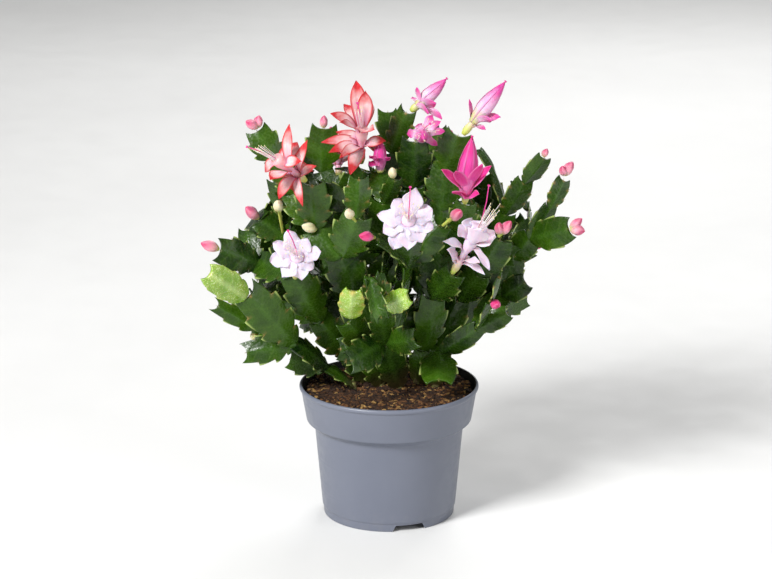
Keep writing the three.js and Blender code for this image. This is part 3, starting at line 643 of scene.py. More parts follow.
class Gathering:
    """Collects copies of shapes with their surface values, and makes one piece of them.

    The UV map holds each point's place on its petal or segment, and the attribute `tint` holds four values
    that the finishes read.
    """

    def __init__(self) -> None:
        """Starts an empty collection."""
        self.points: list[np.ndarray] = []
        self.faces: list[tuple[int, ...]] = []
        self.places: list[np.ndarray] = []
        self.tints: list[np.ndarray] = []
        self.slots: list[int] = []
        self.count = 0

    def add(
        self,
        shape: Shape,
        points: np.ndarray,
        places: np.ndarray | None = None,
        tint: np.ndarray | tuple[float, ...] = (0.5, 0.0, 0.0, 0.0),
        slot: int = 0,
    ) -> None:
        """Adds one copy of a shape.

        Args:
            shape: The shape, for its faces.
            points: The copy's own points.
            places: The points' places on the UV map, or none.
            tint: Four values for the whole copy, or four for each point.
            slot: The material slot of its faces.
        """
        total = len(points)
        self.points.append(points)
        self.faces.extend(tuple(i + self.count for i in face) for face in shape.faces)
        self.places.append(np.zeros((total, 2)) if places is None else places)
        self.tints.append(np.broadcast_to(np.asarray(tint, dtype=float), (total, 4)))
        self.slots.extend([slot] * len(shape.faces))
        self.count += total

    def made(self, name: str, materials: list[bpy.types.Material]) -> bpy.types.Object:
        """Makes the piece.

        Args:
            name: Its name.
            materials: Its materials, in the order of the slots.

        Returns:
            The piece, smooth, with its place in its mesh.
        """
        mesh = bpy.data.meshes.new(name)
        mesh.from_pydata(np.concatenate(self.points).tolist(), [], self.faces)
        corners = np.empty(len(mesh.loops), dtype=int)
        mesh.loops.foreach_get("vertex_index", corners)
        places = np.concatenate(self.places)[corners]
        mesh.uv_layers.new(name="UVMap").data.foreach_set("uv", places.ravel())
        tint = mesh.attributes.new("tint", "FLOAT_COLOR", "POINT")
        tint.data.foreach_set("color", np.concatenate(self.tints).ravel())
        mesh.polygons.foreach_set("material_index", self.slots)
        mesh.polygons.foreach_set("use_smooth", [True] * len(mesh.polygons))
        for material in materials:
            mesh.materials.append(material)
        mesh.update()
        piece = bpy.data.objects.new(name, mesh)
        bpy.context.scene.collection.objects.link(piece)
        return piece


def settle(piece: bpy.types.Object, slot: Slot, *nodes: str) -> None:
    """Puts a finished piece in the frame.

    Args:
        piece: The piece.
        slot: The record's slot of its finish; not used.
        nodes: The nodes that it stands for.
    """
    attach(piece, "root")
    if nodes:
        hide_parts(*nodes)
    log.info("%s: %d faces", piece.name, len(piece.data.polygons))


def along_curve(start: Vector, bend: Vector, end: Vector, u: np.ndarray) -> tuple[np.ndarray, np.ndarray]:
    """Follows a curve that leaves `start` towards `bend` and ends in `end`.

    Args:
        start: First point.
        bend: The point that it leans to.
        end: Last point.
        u: Shares of the way, from 0 to 1.

    Returns:
        The points on it and the unit directions there.
    """
    a, b, c = (np.array(p) for p in (start, bend, end))
    u = u[:, None]
    points = a * (1 - u) ** 2 + b * (2 * u * (1 - u)) + c * u**2
    ways = (b - a) * (2 * (1 - u)) + (c - b) * (2 * u)
    return points, ways / np.linalg.norm(ways, axis=1)[:, None]


# Finishes


class Graph:
    """Adds and links the nodes of a material or of a group."""

    def __init__(self, tree: bpy.types.NodeTree) -> None:
        """Takes the tree and empties it."""
        self.tree = tree
        tree.nodes.clear()

    def node(self, kind: str, settings: dict | None = None, **inputs: object) -> bpy.types.Node:
        """Adds a node.

        Args:
            kind: Its type, without the word ShaderNode.
            settings: Its settings.
            inputs: Values or sockets for its inputs, with _ for a blank in their names.

        Returns:
            The node.
        """
        made = self.tree.nodes.new("ShaderNode" + kind)
        for key, value in (settings or {}).items():
            setattr(made, key, value)
        for key, value in inputs.items():
            self.feed(made.inputs[key.replace("_", " ")], value)
        return made

    def feed(self, socket: bpy.types.NodeSocket, value: object) -> None:
        """Gives an input its value or its link."""
        if isinstance(value, bpy.types.NodeSocket):
            self.tree.links.new(value, socket)
        elif socket.type == "RGBA":
            socket.default_value = (*value, 1.0)
        else:
            socket.default_value = value

    def maths(self, operation: str, *terms: object, clamped: bool = False) -> bpy.types.NodeSocket:
        """Adds a calculation, kept from 0 to 1 if it is clamped."""
        made = self.node("Math", {"operation": operation, "use_clamp": clamped})
        for socket, term in zip(made.inputs, terms):
            self.feed(socket, term)
        return made.outputs[0]

    def times(self, first: object, second: object) -> bpy.types.NodeSocket:
        """Adds a product, kept from 0 to 1."""
        return self.maths("MULTIPLY", first, second, clamped=True)

    def plus(self, first: object, second: object) -> bpy.types.NodeSocket:
        """Adds a sum, kept from 0 to 1."""
        return self.maths("ADD", first, second, clamped=True)

    def tints(self) -> list[bpy.types.NodeSocket]:
        """Reads the three values that a piece's points carry for their finish."""
        carried = self.node("Attribute", {"attribute_name": "tint"}).outputs["Color"]
        return list(self.node("SeparateColor", Color=carried).outputs)

    def mix(self, share: object, first: object, second: object, blend: str = "MIX") -> bpy.types.NodeSocket:
        """Adds a mix of two colours."""
        made = self.node("Mix", {"data_type": "RGBA", "blend_type": blend})
        self.feed(made.inputs[0], share)
        self.feed(made.inputs[6], first)
        self.feed(made.inputs[7], second)
        return made.outputs[2]

    def span(
        self, value: object, low: float, high: float, start: float = 0.0, end: float = 1.0
    ) -> bpy.types.NodeSocket:
        """Adds a smooth step: `start` below `low`, `end` above `high`."""
        made = self.node("MapRange", {"interpolation_type": "SMOOTHSTEP"}, Value=value)
        self.feed(made.inputs["From Min"], low)
        self.feed(made.inputs["From Max"], high)
        self.feed(made.inputs["To Min"], start)
        self.feed(made.inputs["To Max"], end)
        return made.outputs[0]

    def about(self, grain: object, middle: float, swing: float) -> bpy.types.NodeSocket:
        """Lets a grain swing a value round its middle."""
        return self.span(grain, 0.3, 0.7, middle - swing, middle + swing)

    def noise(self, place: object, scale: object, detail: float = 3.0) -> bpy.types.NodeSocket:
        """Adds a noise from 0 to 1."""
        return self.node("TexNoise", Vector=place, Scale=scale, Detail=detail).outputs["Fac"]

    def ramp(self, value: object, stops: list[tuple[float, Colour]]) -> bpy.types.NodeSocket:
        """Adds a run of colours."""
        made = self.node("ValToRGB", Fac=value)
        elements = made.color_ramp.elements
        for place, _ in stops[2:]:
            elements.new(place)
        for element, (place, colour) in zip(elements, sorted(stops)):
            element.position = place
            element.color = (*colour, 1.0)
        return made.outputs["Color"]

    def group(self, tree: bpy.types.NodeTree, **inputs: object) -> bpy.types.Node:
        """Adds a group."""
        made = self.node("Group", {"node_tree": tree})
        for key, value in inputs.items():
            self.feed(made.inputs[key], value)
        return made


def started_group(
    name: str, inputs: tuple[str, ...], outputs: tuple[str, ...]
) -> tuple[Graph, bpy.types.Node, bpy.types.Node]:
    """Starts a shader group.

    Args:
        name: Its name.
        inputs: Names of its value inputs.
        outputs: Names of its value outputs.

    Returns:
        Its graph, its input node and its output node.
    """
    tree = bpy.data.node_groups.new(name, "ShaderNodeTree")
    for item in inputs:
        tree.interface.new_socket(item, in_out="INPUT", socket_type="NodeSocketFloat")
    for item in outputs:
        tree.interface.new_socket(item, in_out="OUTPUT", socket_type="NodeSocketFloat")
    graph = Graph(tree)
    return graph, tree.nodes.new("NodeGroupInput"), tree.nodes.new("NodeGroupOutput")


def mottle_group() -> bpy.types.NodeTree:
    """Builds the group of soft blotches and fine grain that all the finishes share."""
    graph, given, result = started_group("mottle", ("Scale",), ("Blotch", "Grain"))
    place = graph.node("TexCoord").outputs["Object"]
    scale = given.outputs["Scale"]
    finer = graph.maths("MULTIPLY", scale, 9.0)
    graph.feed(result.inputs["Blotch"], graph.span(graph.noise(place, scale), 0.3, 0.7))
    graph.feed(result.inputs["Grain"], graph.noise(place, finer, 4.0))
    return graph.tree


# How far a segment's side veins lean to its tip, and how closely they follow each other
VEIN_LEAN = 0.22
VEIN_PACE = 19.0


def blade_group() -> bpy.types.NodeTree:
    """Builds the group of what runs along a blade: its midrib, edges, side veins and fine lines."""
    outputs = ("Along", "Away", "Middle", "Edge", "Vein", "Line")
    graph, given, result = started_group("blade", ("Lines",), outputs)
    place = graph.node("SeparateXYZ", Vector=graph.node("UVMap", {"uv_map": "UVMap"}).outputs[0])
    across, along = place.outputs[0], place.outputs[1]
    away = graph.maths("ABSOLUTE", graph.maths("MULTIPLY_ADD", across, 2.0, -1.0), clamped=True)
    slant = graph.maths("MULTIPLY_ADD", away, -VEIN_LEAN, along)
    waves = graph.maths("SINE", graph.maths("MULTIPLY", slant, VEIN_PACE))
    spread = graph.maths("MULTIPLY", across, given.outputs["Lines"])
    lengthwise = graph.node("CombineXYZ", X=spread, Y=along)
    graph.feed(result.inputs["Along"], along)
    graph.feed(result.inputs["Away"], away)
    graph.feed(result.inputs["Middle"], graph.span(away, 0.03, 0.30, 1.0, 0.0))
    graph.feed(result.inputs["Edge"], graph.span(away, 0.86, 0.97))
    graph.feed(result.inputs["Vein"], graph.span(waves, 0.86, 1.0))
    graph.feed(result.inputs["Line"], graph.noise(lengthwise.outputs[0], 2.2, 3.0))
    return graph.tree


@dataclass
class Palette:
    """The shader groups that the finishes share."""

    mottle: bpy.types.NodeTree = field(default_factory=mottle_group)
    blade: bpy.types.NodeTree = field(default_factory=blade_group)

    def started(self, name: str, **constants: float) -> tuple[bpy.types.Material, Graph, bpy.types.Node]:
        """Starts a material.

        Args:
            name: Its name.
            constants: Constants of its shader.

        Returns:
            The material, its graph and its shader.
        """
        material = bpy.data.materials.new(name)
        material.use_nodes = True
        graph = Graph(material.node_tree)
        shader = graph.node("BsdfPrincipled", **constants)
        output = graph.node("OutputMaterial")
        graph.feed(output.inputs["Surface"], shader.outputs[0])
        return material, graph, shader

    def bump(self, graph: Graph, shader: bpy.types.Node, height: object, depth: float) -> None:
        """Raises a surface by a height from 0 to 1.

        Args:
            graph: The material's graph.
            shader: Its shader.
            height: The height.
            depth: How high 1 is.
        """
        relief = graph.node("Bump", Height=height, Distance=depth, Strength=1.0)
        graph.feed(shader.inputs["Normal"], relief.outputs[0])


@dataclass(frozen=True)
class SegmentFinish:
    """The waxy skin of a segment, lighter on its midrib and edges, brown where it is old; its pale edges and
    flecks are partly painted glints, and on young segments its whitish rib and blotches are painted highlight.
    """

    name: str = "segment_green"
    dark: Colour = (0.004, 0.017, 0.002)
    mid: Colour = (0.038, 0.098, 0.003)
    # Pale fleck colour: partly painted glints; on young segments, whitish painted highlight.
    light: Colour = (0.14, 0.25, 0.025)
    rib: Colour = (0.055, 0.14, 0.014)
    # Pale margin colour, brightened partly as painted glints along the edges.
    edge: Colour = (0.36, 0.46, 0.13)
    wood: Colour = (0.085, 0.06, 0.022)
    areole: Colour = (0.40, 0.22, 0.08)
    glossy: float = 0.15
    dull: float = 0.38
    shine: float = 0.34
    glow: float = 0.0
    blotch_scale: float = 75.0
    rib_and_highlight_share: float = 0.25
    pale_share: float = 0.16
    tone_share: float = 0.55
    vein_share: float = 0.08
    edge_share: float = 0.8
    areole_share: float = 0.9
    bark_least: float = 0.45
    bark_dull: float = 0.3
    vein_relief: float = 0.06
    grain_relief: float = 0.3
    relief: float = 0.0004

    def made(self, palette: Palette) -> bpy.types.Material:
        """Builds the material."""
        material, graph, shader = palette.started(
            self.name, Subsurface_Weight=self.glow, Subsurface_Scale=0.003, Specular_IOR_Level=self.shine
        )
        mottle = graph.group(palette.mottle, Scale=self.blotch_scale)
        blade = graph.group(palette.blade)
        blotch, grain = mottle.outputs["Blotch"], mottle.outputs["Grain"]
        tone, wood, areole = graph.tints()
        share = graph.plus(graph.times(tone, self.tone_share), graph.times(blotch, 1 - self.tone_share))
        colour = graph.mix(share, self.dark, self.mid)
        # Pale flecks: the skin's own speckle, raised partly as painted glints; at a full share they make the
        # young segments' whitish painted highlight.
        pale = graph.times(graph.span(grain, 0.5, 0.75), graph.times(blotch, self.pale_share))
        colour = graph.mix(pale, colour, self.light)
        colour = graph.mix(graph.times(blade.outputs["Vein"], self.vein_share), colour, self.light)
        # The midrib's colour: lighter green on old segments, whitish painted highlight on young ones.
        colour = graph.mix(graph.times(blade.outputs["Middle"], self.rib_and_highlight_share), colour, self.rib)
        # Pale margins: the skin's own, brightened partly as painted glints.
        colour = graph.mix(graph.times(blade.outputs["Edge"], self.edge_share), colour, self.edge)
        bark = graph.times(wood, graph.span(grain, 0.25, 0.6, self.bark_least))
        colour = graph.mix(bark, colour, self.wood)
        colour = graph.mix(graph.times(areole, self.areole_share), colour, self.areole)
        graph.feed(shader.inputs["Base Color"], colour)
        rough = graph.span(grain, 0.3, 0.7, self.glossy, self.dull)
        graph.feed(shader.inputs["Roughness"], graph.plus(rough, graph.times(bark, self.bark_dull)))
        fine = graph.times(blade.outputs["Vein"], self.vein_relief)
        fine = graph.plus(graph.times(grain, self.grain_relief), fine)
        palette.bump(graph, shader, graph.plus(fine, blotch), self.relief)
        return material


@dataclass(frozen=True)
class PetalFinish:
    """A thin petal: pale where it starts, coloured to its tip, with fine lines along it and a green ovary."""

    name: str
    base: Colour
    middle: Colour
    tip: Colour
    edge: Colour
    line: Colour
    edge_share: float = 0.3
    edge_from: float = 0.6
    line_share: float = 0.25
    turn: float = 0.55
    green: Colour = (0.50, 0.56, 0.10)
    roughness: float = 0.42
    glow: float = 0.2
    blotch_scale: float = 160.0
    lines: float = 18.0
    wander: float = 0.14
    edge_to: float = 0.95
    shade_least: float = 0.84
    line_relief: float = 0.7
    grain_relief: float = 0.2
    relief: float = 0.00035

    def made(self, palette: Palette) -> bpy.types.Material:
        """Builds the material."""
        material, graph, shader = palette.started(
            self.name,
            Subsurface_Weight=self.glow,
            Subsurface_Scale=0.004,
            Sheen_Weight=0.06,
            Sheen_Roughness=0.4,
        )
        mottle = graph.group(palette.mottle, Scale=self.blotch_scale)
        blade = graph.group(palette.blade, Lines=self.lines)
        grain, line = mottle.outputs["Grain"], blade.outputs["Line"]
        tone, green, _ = graph.tints()
        along = graph.maths("MULTIPLY_ADD", mottle.outputs["Blotch"], self.wander, blade.outputs["Along"])
        stops = [(0.12, self.base), (0.96, self.tip), (self.turn, self.middle)]
        colour = graph.ramp(along, stops)
        rim = graph.span(blade.outputs["Away"], self.edge_from, self.edge_to)
        colour = graph.mix(graph.times(rim, self.edge_share), colour, self.edge)
        lines = graph.times(graph.span(line, 0.5, 0.68), self.line_share)
        colour = graph.mix(lines, colour, self.line)
        shade = graph.span(tone, 0.0, 1.0, self.shade_least)
        grey = graph.node("CombineColor", Red=shade, Green=shade, Blue=shade).outputs[0]
        colour = graph.mix(1.0, colour, grey, "MULTIPLY")
        colour = graph.mix(green, colour, self.green)
        graph.feed(shader.inputs["Base Color"], colour)
        graph.feed(shader.inputs["Roughness"], graph.about(grain, self.roughness, 0.1))
        relief = graph.plus(graph.times(line, self.line_relief), graph.times(grain, self.grain_relief))
        palette.bump(graph, shader, relief, self.relief)
        return material


@dataclass(frozen=True)
class FlecksFinish:
    """A finish of two mingled colours, for stamens, styles, the inside of the pot and the floor."""

    name: str
    first: Colour
    second: Colour
    scale: float = 900.0
    roughness: float = 0.5
    glow: float = 0.0
    bump: float = 0.0001

    def made(self, palette: Palette) -> bpy.types.Material:
        """Builds the material."""
        constants = {"Subsurface_Weight": self.glow, "Subsurface_Scale": 0.002}
        material, graph, shader = palette.started(self.name, **constants)
        mottle = graph.group(palette.mottle, Scale=self.scale)
        blotch, grain = mottle.outputs["Blotch"], mottle.outputs["Grain"]
        graph.feed(shader.inputs["Base Color"], graph.mix(blotch, self.first, self.second))
        graph.feed(shader.inputs["Roughness"], graph.about(grain, self.roughness, 0.08))
        palette.bump(graph, shader, grain, self.bump)
        return material


@dataclass(frozen=True)
class SoilFinish:
    """Coarse peat: near-black crumbs, brown ones, and bits of golden bark."""

    name: str = "soil_peat"
    black: Colour = (0.007, 0.003, 0.002)
    brown: Colour = (0.066, 0.025, 0.007)
    bark: Colour = (0.22, 0.090, 0.025)
    golden: Colour = (0.60, 0.36, 0.11)
    blotch_scale: float = 420.0
    brown_share: float = 0.25
    roughness: float = 0.85
    relief: float = 0.0009

    def made(self, palette: Palette) -> bpy.types.Material:
        """Builds the material."""
        material, graph, shader = palette.started(self.name)
        mottle = graph.group(palette.mottle, Scale=self.blotch_scale)
        grain = mottle.outputs["Grain"]
        stops = [(0.0, self.black), (1.0, self.golden), (0.45, self.brown), (0.8, self.bark)]
        colour = graph.ramp(graph.tints()[0], stops)
        colour = graph.mix(graph.times(mottle.outputs["Blotch"], self.brown_share), colour, self.brown)
        graph.feed(shader.inputs["Base Color"], colour)
        graph.feed(shader.inputs["Roughness"], graph.about(grain, self.roughness, 0.1))
        palette.bump(graph, shader, grain, self.relief)
        return material


@dataclass(frozen=True)
class PotFinish:
    """Thin moulded plastic with a soft sheen, faint scuffs round it and a little dust low down."""

    name: str = "pot_plastic"
    base: Colour = (0.130, 0.144, 0.188)
    pale: Colour = (0.168, 0.182, 0.230)
    dust: Colour = (0.33, 0.30, 0.27)
    roughness: float = 0.42
    blotch_scale: float = 22.0
    scuff_stretch: tuple[float, float, float] = (14.0, 14.0, 900.0)
    pale_share: float = 0.35
    scuff_share: float = 0.10
    scuff_dull: float = 0.12
    dust_low: float = 0.002
    dust_high: float = 0.022
    dust_share: float = 0.07
    fine_scale: float = 1400.0
    fine_relief: float = 0.4
    blotch_relief: float = 0.5
    relief: float = 0.00008

    def made(self, palette: Palette) -> bpy.types.Material:
        """Builds the material."""
        material, graph, shader = palette.started(self.name, Coat_Weight=0.08, Coat_Roughness=0.3)
        mottle = graph.group(palette.mottle, Scale=self.blotch_scale)
        blotch, grain = mottle.outputs["Blotch"], mottle.outputs["Grain"]
        place = graph.node("TexCoord").outputs["Object"]
        stretch = graph.node("Mapping", Vector=place)
        stretch.inputs["Scale"].default_value = self.scuff_stretch
        scuff = graph.span(graph.noise(stretch.outputs[0], 1.0, 5.0), 0.60, 0.74)
        colour = graph.mix(graph.times(blotch, self.pale_share), self.base, self.pale)
        colour = graph.mix(graph.times(scuff, self.scuff_share), colour, self.pale)
        height = graph.node("SeparateXYZ", Vector=place).outputs[2]
        low = graph.span(height, self.dust_low, self.dust_high, 1.0, 0.0)
        dusty = graph.times(low, graph.span(grain, 0.45, 0.7))
        colour = graph.mix(graph.times(dusty, self.dust_share), colour, self.dust)
        graph.feed(shader.inputs["Base Color"], colour)
        rough = graph.about(grain, self.roughness, 0.05)
        graph.feed(shader.inputs["Roughness"], graph.plus(rough, graph.times(scuff, self.scuff_dull)))
        fine = graph.times(graph.noise(place, self.fine_scale, 2.0), self.fine_relief)
        fine = graph.plus(fine, graph.times(blotch, self.blotch_relief))
        palette.bump(graph, shader, fine, self.relief)
        return material


# Pot and soil


def lathed(name: str, profile: list[tuple[float, float]], steps: int) -> bpy.types.Object:
    """Models a turned body: a point is extruded along the profile and spun.

    Args:
        name: Its name.
        profile: Radii and heights, from the axis round to the axis again.
        steps: Faces round it.

    Returns:
        The body, at the origin.
    """
    alone()
    bpy.ops.mesh.primitive_plane_add(size=0.001)
    body = bpy.context.object
    body.name = body.data.name = name
    bpy.ops.object.mode_set(mode="EDIT")
    bpy.ops.mesh.select_all(action="SELECT")
    bpy.ops.mesh.merge(type="CENTER")
    last = (0.0, 0.0)
    for i, (radius, height) in enumerate(profile):
        step = (radius - last[0], 0, height - last[1])
        if i:
            bpy.ops.mesh.extrude_region_move(TRANSFORM_OT_translate={"value": step})
        else:
            bpy.ops.transform.translate(value=step)
        last = (radius, height)
    bpy.ops.mesh.select_all(action="SELECT")
    bpy.ops.mesh.spin(steps=steps, angle=2 * math.pi, center=(0, 0, 0), axis=(0, 0, 1))
    bpy.ops.mesh.select_all(action="SELECT")
    bpy.ops.mesh.remove_doubles(threshold=0.00002)
    bpy.ops.mesh.normals_make_consistent(inside=False)
    bpy.ops.object.mode_set(mode="OBJECT")
    return body


def applied(piece: bpy.types.Object, kind: str, **settings: object) -> None:
    """Adds a modifier to a piece and applies it.

    Args:
        piece: The piece.
        kind: The modifier's type.
        settings: Its settings.
    """
    alone()
    piece.select_set(True)
    bpy.context.view_layer.objects.active = piece
    modifier = piece.modifiers.new(kind.lower(), kind)
    for key, value in settings.items():
        setattr(modifier, key, value)
    bpy.ops.object.modifier_apply(modifier=modifier.name)


@dataclass
class NurseryPot:
    """A round nursery pot with a wide flared band, a rolled lip, slots in its foot and drain holes."""

    middle_low: float = 0.013
    middle_high: float = 0.015
    foot_radius: float = 0.0427
    floor_height: float = 0.006
    step_radius: float = 0.0449
    step_height: float = 0.0062
    neck_radius: float = 0.0498
    neck_height: float = 0.061
    band_radius: float = 0.0553
    band_height: float = 0.066
    collar_radius: float = 0.0588
    collar_height: float = 0.0864
    rim_radius: float = 0.06
    height: float = 0.09
    lip_drop: float = 0.0024
    lip_round: float = 0.0008
    lip_depth: float = 0.0019
    bend: float = 0.0005
    wall: float = 0.0012
    floor_below: float = 0.02
    drains: int = 5
    drain_ring: float = 0.028
    drain_radius: float = 0.004
    slots: int = 3
    slot_turn: float = 18.0
    slot_low: float = 0.023
    slot_high: float = 0.0184
    slot_height: float = 0.0044
    rounding: float = 0.0005
    steps: int = 144

    @property
    def profile(self) -> list[tuple[float, float]]:
        """Its wall, from the middle of its underside round the outside to the middle of its floor."""
        inner = self.floor_height + self.wall
        return [
            (0.0, 0.0),
            (self.middle_low, 0.0),
            (self.middle_high, self.floor_height),
            (self.foot_radius, self.floor_height),
            (self.foot_radius, 0.0),
            (self.foot_radius + self.wall, 0.0),
            (self.step_radius - 0.0007, self.step_height - 0.001),
            (self.step_radius, self.step_height),
            (self.neck_radius, self.neck_height),
            (self.neck_radius + 0.0006, self.neck_height + 0.0012),
            (self.band_radius - 0.0012, self.band_height - 0.0009),
            (self.band_radius, self.band_height),
            (self.collar_radius, self.collar_height),
            (self.rim_radius, self.height - self.lip_drop),
            (self.rim_radius, self.height - self.lip_round),
            (self.rim_radius - self.lip_round, self.height),
            (self.rim_radius - self.lip_depth, self.height),
            (self.band_radius - self.wall, self.band_height + self.bend),
            (self.neck_radius - self.wall, self.neck_height + self.bend),
            (self.step_radius - self.wall, inner),
            (self.middle_high - self.wall, inner),
            (self.middle_low - self.wall, self.wall),
            (0.0, self.wall),
        ]

    def build(self, plastic: bpy.types.Material, inside: bpy.types.Material) -> None:
        """Builds the pot and puts it in the place of its node.

        Args:
            plastic: Finish of the outside.
            inside: Finish of the inside.
        """
        pot = lathed("nursery_pot", self.profile, self.steps)
        limit = {"limit_method": "ANGLE", "angle_limit": math.radians(14)}
        applied(pot, "BEVEL", width=self.rounding, segments=3, **limit)
        for cutter in self.cutters():
            applied(pot, "BOOLEAN", operation="DIFFERENCE", object=cutter, solver="EXACT")
            bpy.data.objects.remove(cutter)
        for material in (plastic, inside):
            pot.data.materials.append(material)
        # Faces that look inwards take the near-black inside finish: a dark inner layer, partly painted shade
        # within the pot.
        for face in pot.data.polygons:
            x, y, z = face.center
            inwards = face.normal.x * x + face.normal.y * y < -1e-5
            on_floor = z < self.floor_below and face.normal.z > 0.9
            face.material_index = int(z > self.floor_height + 0.001 and (inwards or on_floor))
            face.use_smooth = True
        alone()
        pot.select_set(True)
        bpy.context.view_layer.objects.active = pot
        bpy.ops.object.shade_smooth_by_angle(angle=math.radians(32))
        settle(pot, Slot.POT, "pot")

    def cutters(self) -> list[bpy.types.Object]:
        """Models the bodies that cut the drain holes and the slots."""
        made = []
        for i in range(self.drains):
            alone()
            angle = 2 * math.pi * i / self.drains
            at = (self.drain_ring * math.cos(angle), self.drain_ring * math.sin(angle), self.floor_height)
            bpy.ops.mesh.primitive_cylinder_add(
                vertices=32, radius=self.drain_radius, depth=0.01, location=at
            )
            made.append(bpy.context.object)
        for i in range(self.slots):
            alone()
            bpy.ops.mesh.primitive_cube_add(size=1)
            bpy.ops.object.mode_set(mode="EDIT")
            bpy.ops.mesh.select_all(action="SELECT")
            size = (self.slot_low, 0.008, self.slot_height * 2)
            bpy.ops.transform.resize(value=size, center_override=(0, 0, 0))
            bpy.ops.object.mode_set(mode="OBJECT")
            cutter = bpy.context.object
            narrowing = self.slot_high / self.slot_low
            for point in cutter.data.vertices:
                point.co.x *= narrowing if point.co.z > 0 else 2 - narrowing
            turn = math.radians(self.slot_turn) + 2 * math.pi * i / self.slots
            to_wall = Matrix.Translation((0, -self.foot_radius, 0))
            cutter.data.transform(Matrix.Rotation(turn, 4, "Z") @ to_wall)
            made.append(cutter)
        return made


@dataclass
class RootBall:
    """The soil that fills the pot: its body with a lumpy top, and the crumbs that lie on it."""

    low: float = 0.0076
    low_radius: float = 0.042
    neck_radius: float = 0.047
    neck_height: float = 0.0615
    edge_radius: float = 0.0558
    edge_height: float = 0.085
    rings: int = 26
    steps: int = 120
    crumbs: int = 3600
    crumb_kinds: int = 5
    crumb_least: float = 0.0005
    crumb_most: float = 0.0016
    large: float = 1.5
    large_above: float = 0.93
    bank: float = 0.0018
    bank_from: float = 0.8
    inset: float = 0.0012
    edge_drop: float = 0.0012
    roughness: float = 0.00035

    def top(self, x: np.ndarray, y: np.ndarray) -> np.ndarray:
        """Tells the height of the soil's top."""
        a, b = x * 1000, y * 1000
        lumps = 0.7 * np.sin(a / 7 + 1) * np.cos(b / 9) + 0.5 * np.sin(b / 5 + a / 11)
        return SOIL_LEVEL + lumps / 1000

    def build(self, peat: bpy.types.Material, dice: np.random.Generator) -> None:
        """Builds the body of the soil and puts it in the place of its node.

        Args:
            peat: Its finish.
            dice: Source of random numbers.
        """
        profile = [(0.0, self.low), (self.low_radius, self.low), (self.neck_radius, self.neck_height)]
        for i in range(self.rings + 1):
            profile.append((self.edge_radius * (1 - i / self.rings), self.edge_height))
        soil = lathed("root_ball", profile, self.steps)
        points = np.empty(len(soil.data.vertices) * 3)
        soil.data.vertices.foreach_get("co", points)
        points = points.reshape(-1, 3)
        upper = points[:, 2] > self.edge_height - 0.0002
        x, y = points[upper, 0], points[upper, 1]
        fall = np.clip((np.hypot(x, y) / self.edge_radius - 0.9) / 0.1, 0, 1)
        rough = dice.normal(0, self.roughness, len(x))
        points[upper, 2] = self.top(x, y) + rough - self.edge_drop * fall
        soil.data.vertices.foreach_set("co", points.ravel())
        tint = soil.data.attributes.new("tint", "FLOAT_COLOR", "POINT")
        tones = np.zeros((len(points), 4))
        tones[:, 0] = dice.uniform(0, 0.6, len(points))
        tones[:, 3] = 1
        tint.data.foreach_set("color", tones.ravel())
        soil.data.materials.append(peat)
        settle(soil, Slot.SOIL, "soil")

    def scatter(self, peat: bpy.types.Material, dice: np.random.Generator) -> None:
        """Scatters crumbs and bits of bark over the soil.

        Args:
            peat: Their finish.
            dice: Source of random numbers.
        """
        kinds = [crumb_shape(seed) for seed in range(self.crumb_kinds)]
        gathering = Gathering()
        for i in range(self.crumbs):
            far = (self.edge_radius - self.inset) * math.sqrt(dice.uniform())
            angle = dice.uniform(0, 2 * math.pi)
            x, y = far * math.cos(angle), far * math.sin(angle)
            size = dice.uniform(self.crumb_least, self.crumb_most)
            size *= self.large if dice.uniform() > self.large_above else 1.0
            stretch = np.array((dice.uniform(0.8, 1.9), dice.uniform(0.7, 1.1), dice.uniform(0.6, 1.0)))
            turn = Matrix.Rotation(dice.uniform(0, 6.3), 3, "Z")
            turn = turn @ Matrix.Rotation(dice.uniform(-0.7, 0.7), 3, "X")
            shape = kinds[i % len(kinds)]
            banked = self.bank * dice.uniform() * max(0.0, far / self.edge_radius - self.bank_from) / 0.2
            place = np.array((x, y, float(self.top(x, y)) + size * 0.25 + banked))
            tone = dice.uniform() ** 1.5
            points = place + (shape.points * size * stretch) @ np.array(turn).T
            gathering.add(shape, points, tint=(tone, 0.0, 0.0, 1.0))
        piece = gathering.made("soil_crumbs", [peat])
        piece.data.polygons.foreach_set("use_smooth", [False] * len(piece.data.polygons))
        settle(piece, Slot.SOIL)


# Inner growth


@dataclass
class PlainDice:
    """Even random numbers from 0 to 1, by the same plain rule as in the part's source."""

    state: int

    def roll(self) -> float:
        """Returns the next number."""
        self.state = (self.state * 1664525 + 1013904223) % 2**32
        return self.state / 2**32

    def between(self, low: float, high: float) -> float:
        """Returns a number between two others."""
        return low + (high - low) * self.roll()


@dataclass(frozen=True)
class Room:
    """How many inner segments are wanted, and how much room they need.

    Attributes:
        wanted: How many of them.
        tries: How often one is tried.
        clear: Least distance to the other segments.
        outer: Between these distances lies its farthest point from them.
        of_blooms: Least distance to the flowers.
        of_buds: Least distance to the buds.
    """

    wanted: int
    tries: int
    clear: float
    outer: tuple[float, float]
    of_blooms: float
    of_buds: float


# The inner segments that the solids have too, and the further ones for what room is left
IN_SOLIDS = Room(14, 40000, 0.0055, (0.010, 0.030), 0.017, 0.009)
FURTHER = Room(170, 16000, 0.0040, (0.0, 0.017), 0.009, 0.009)


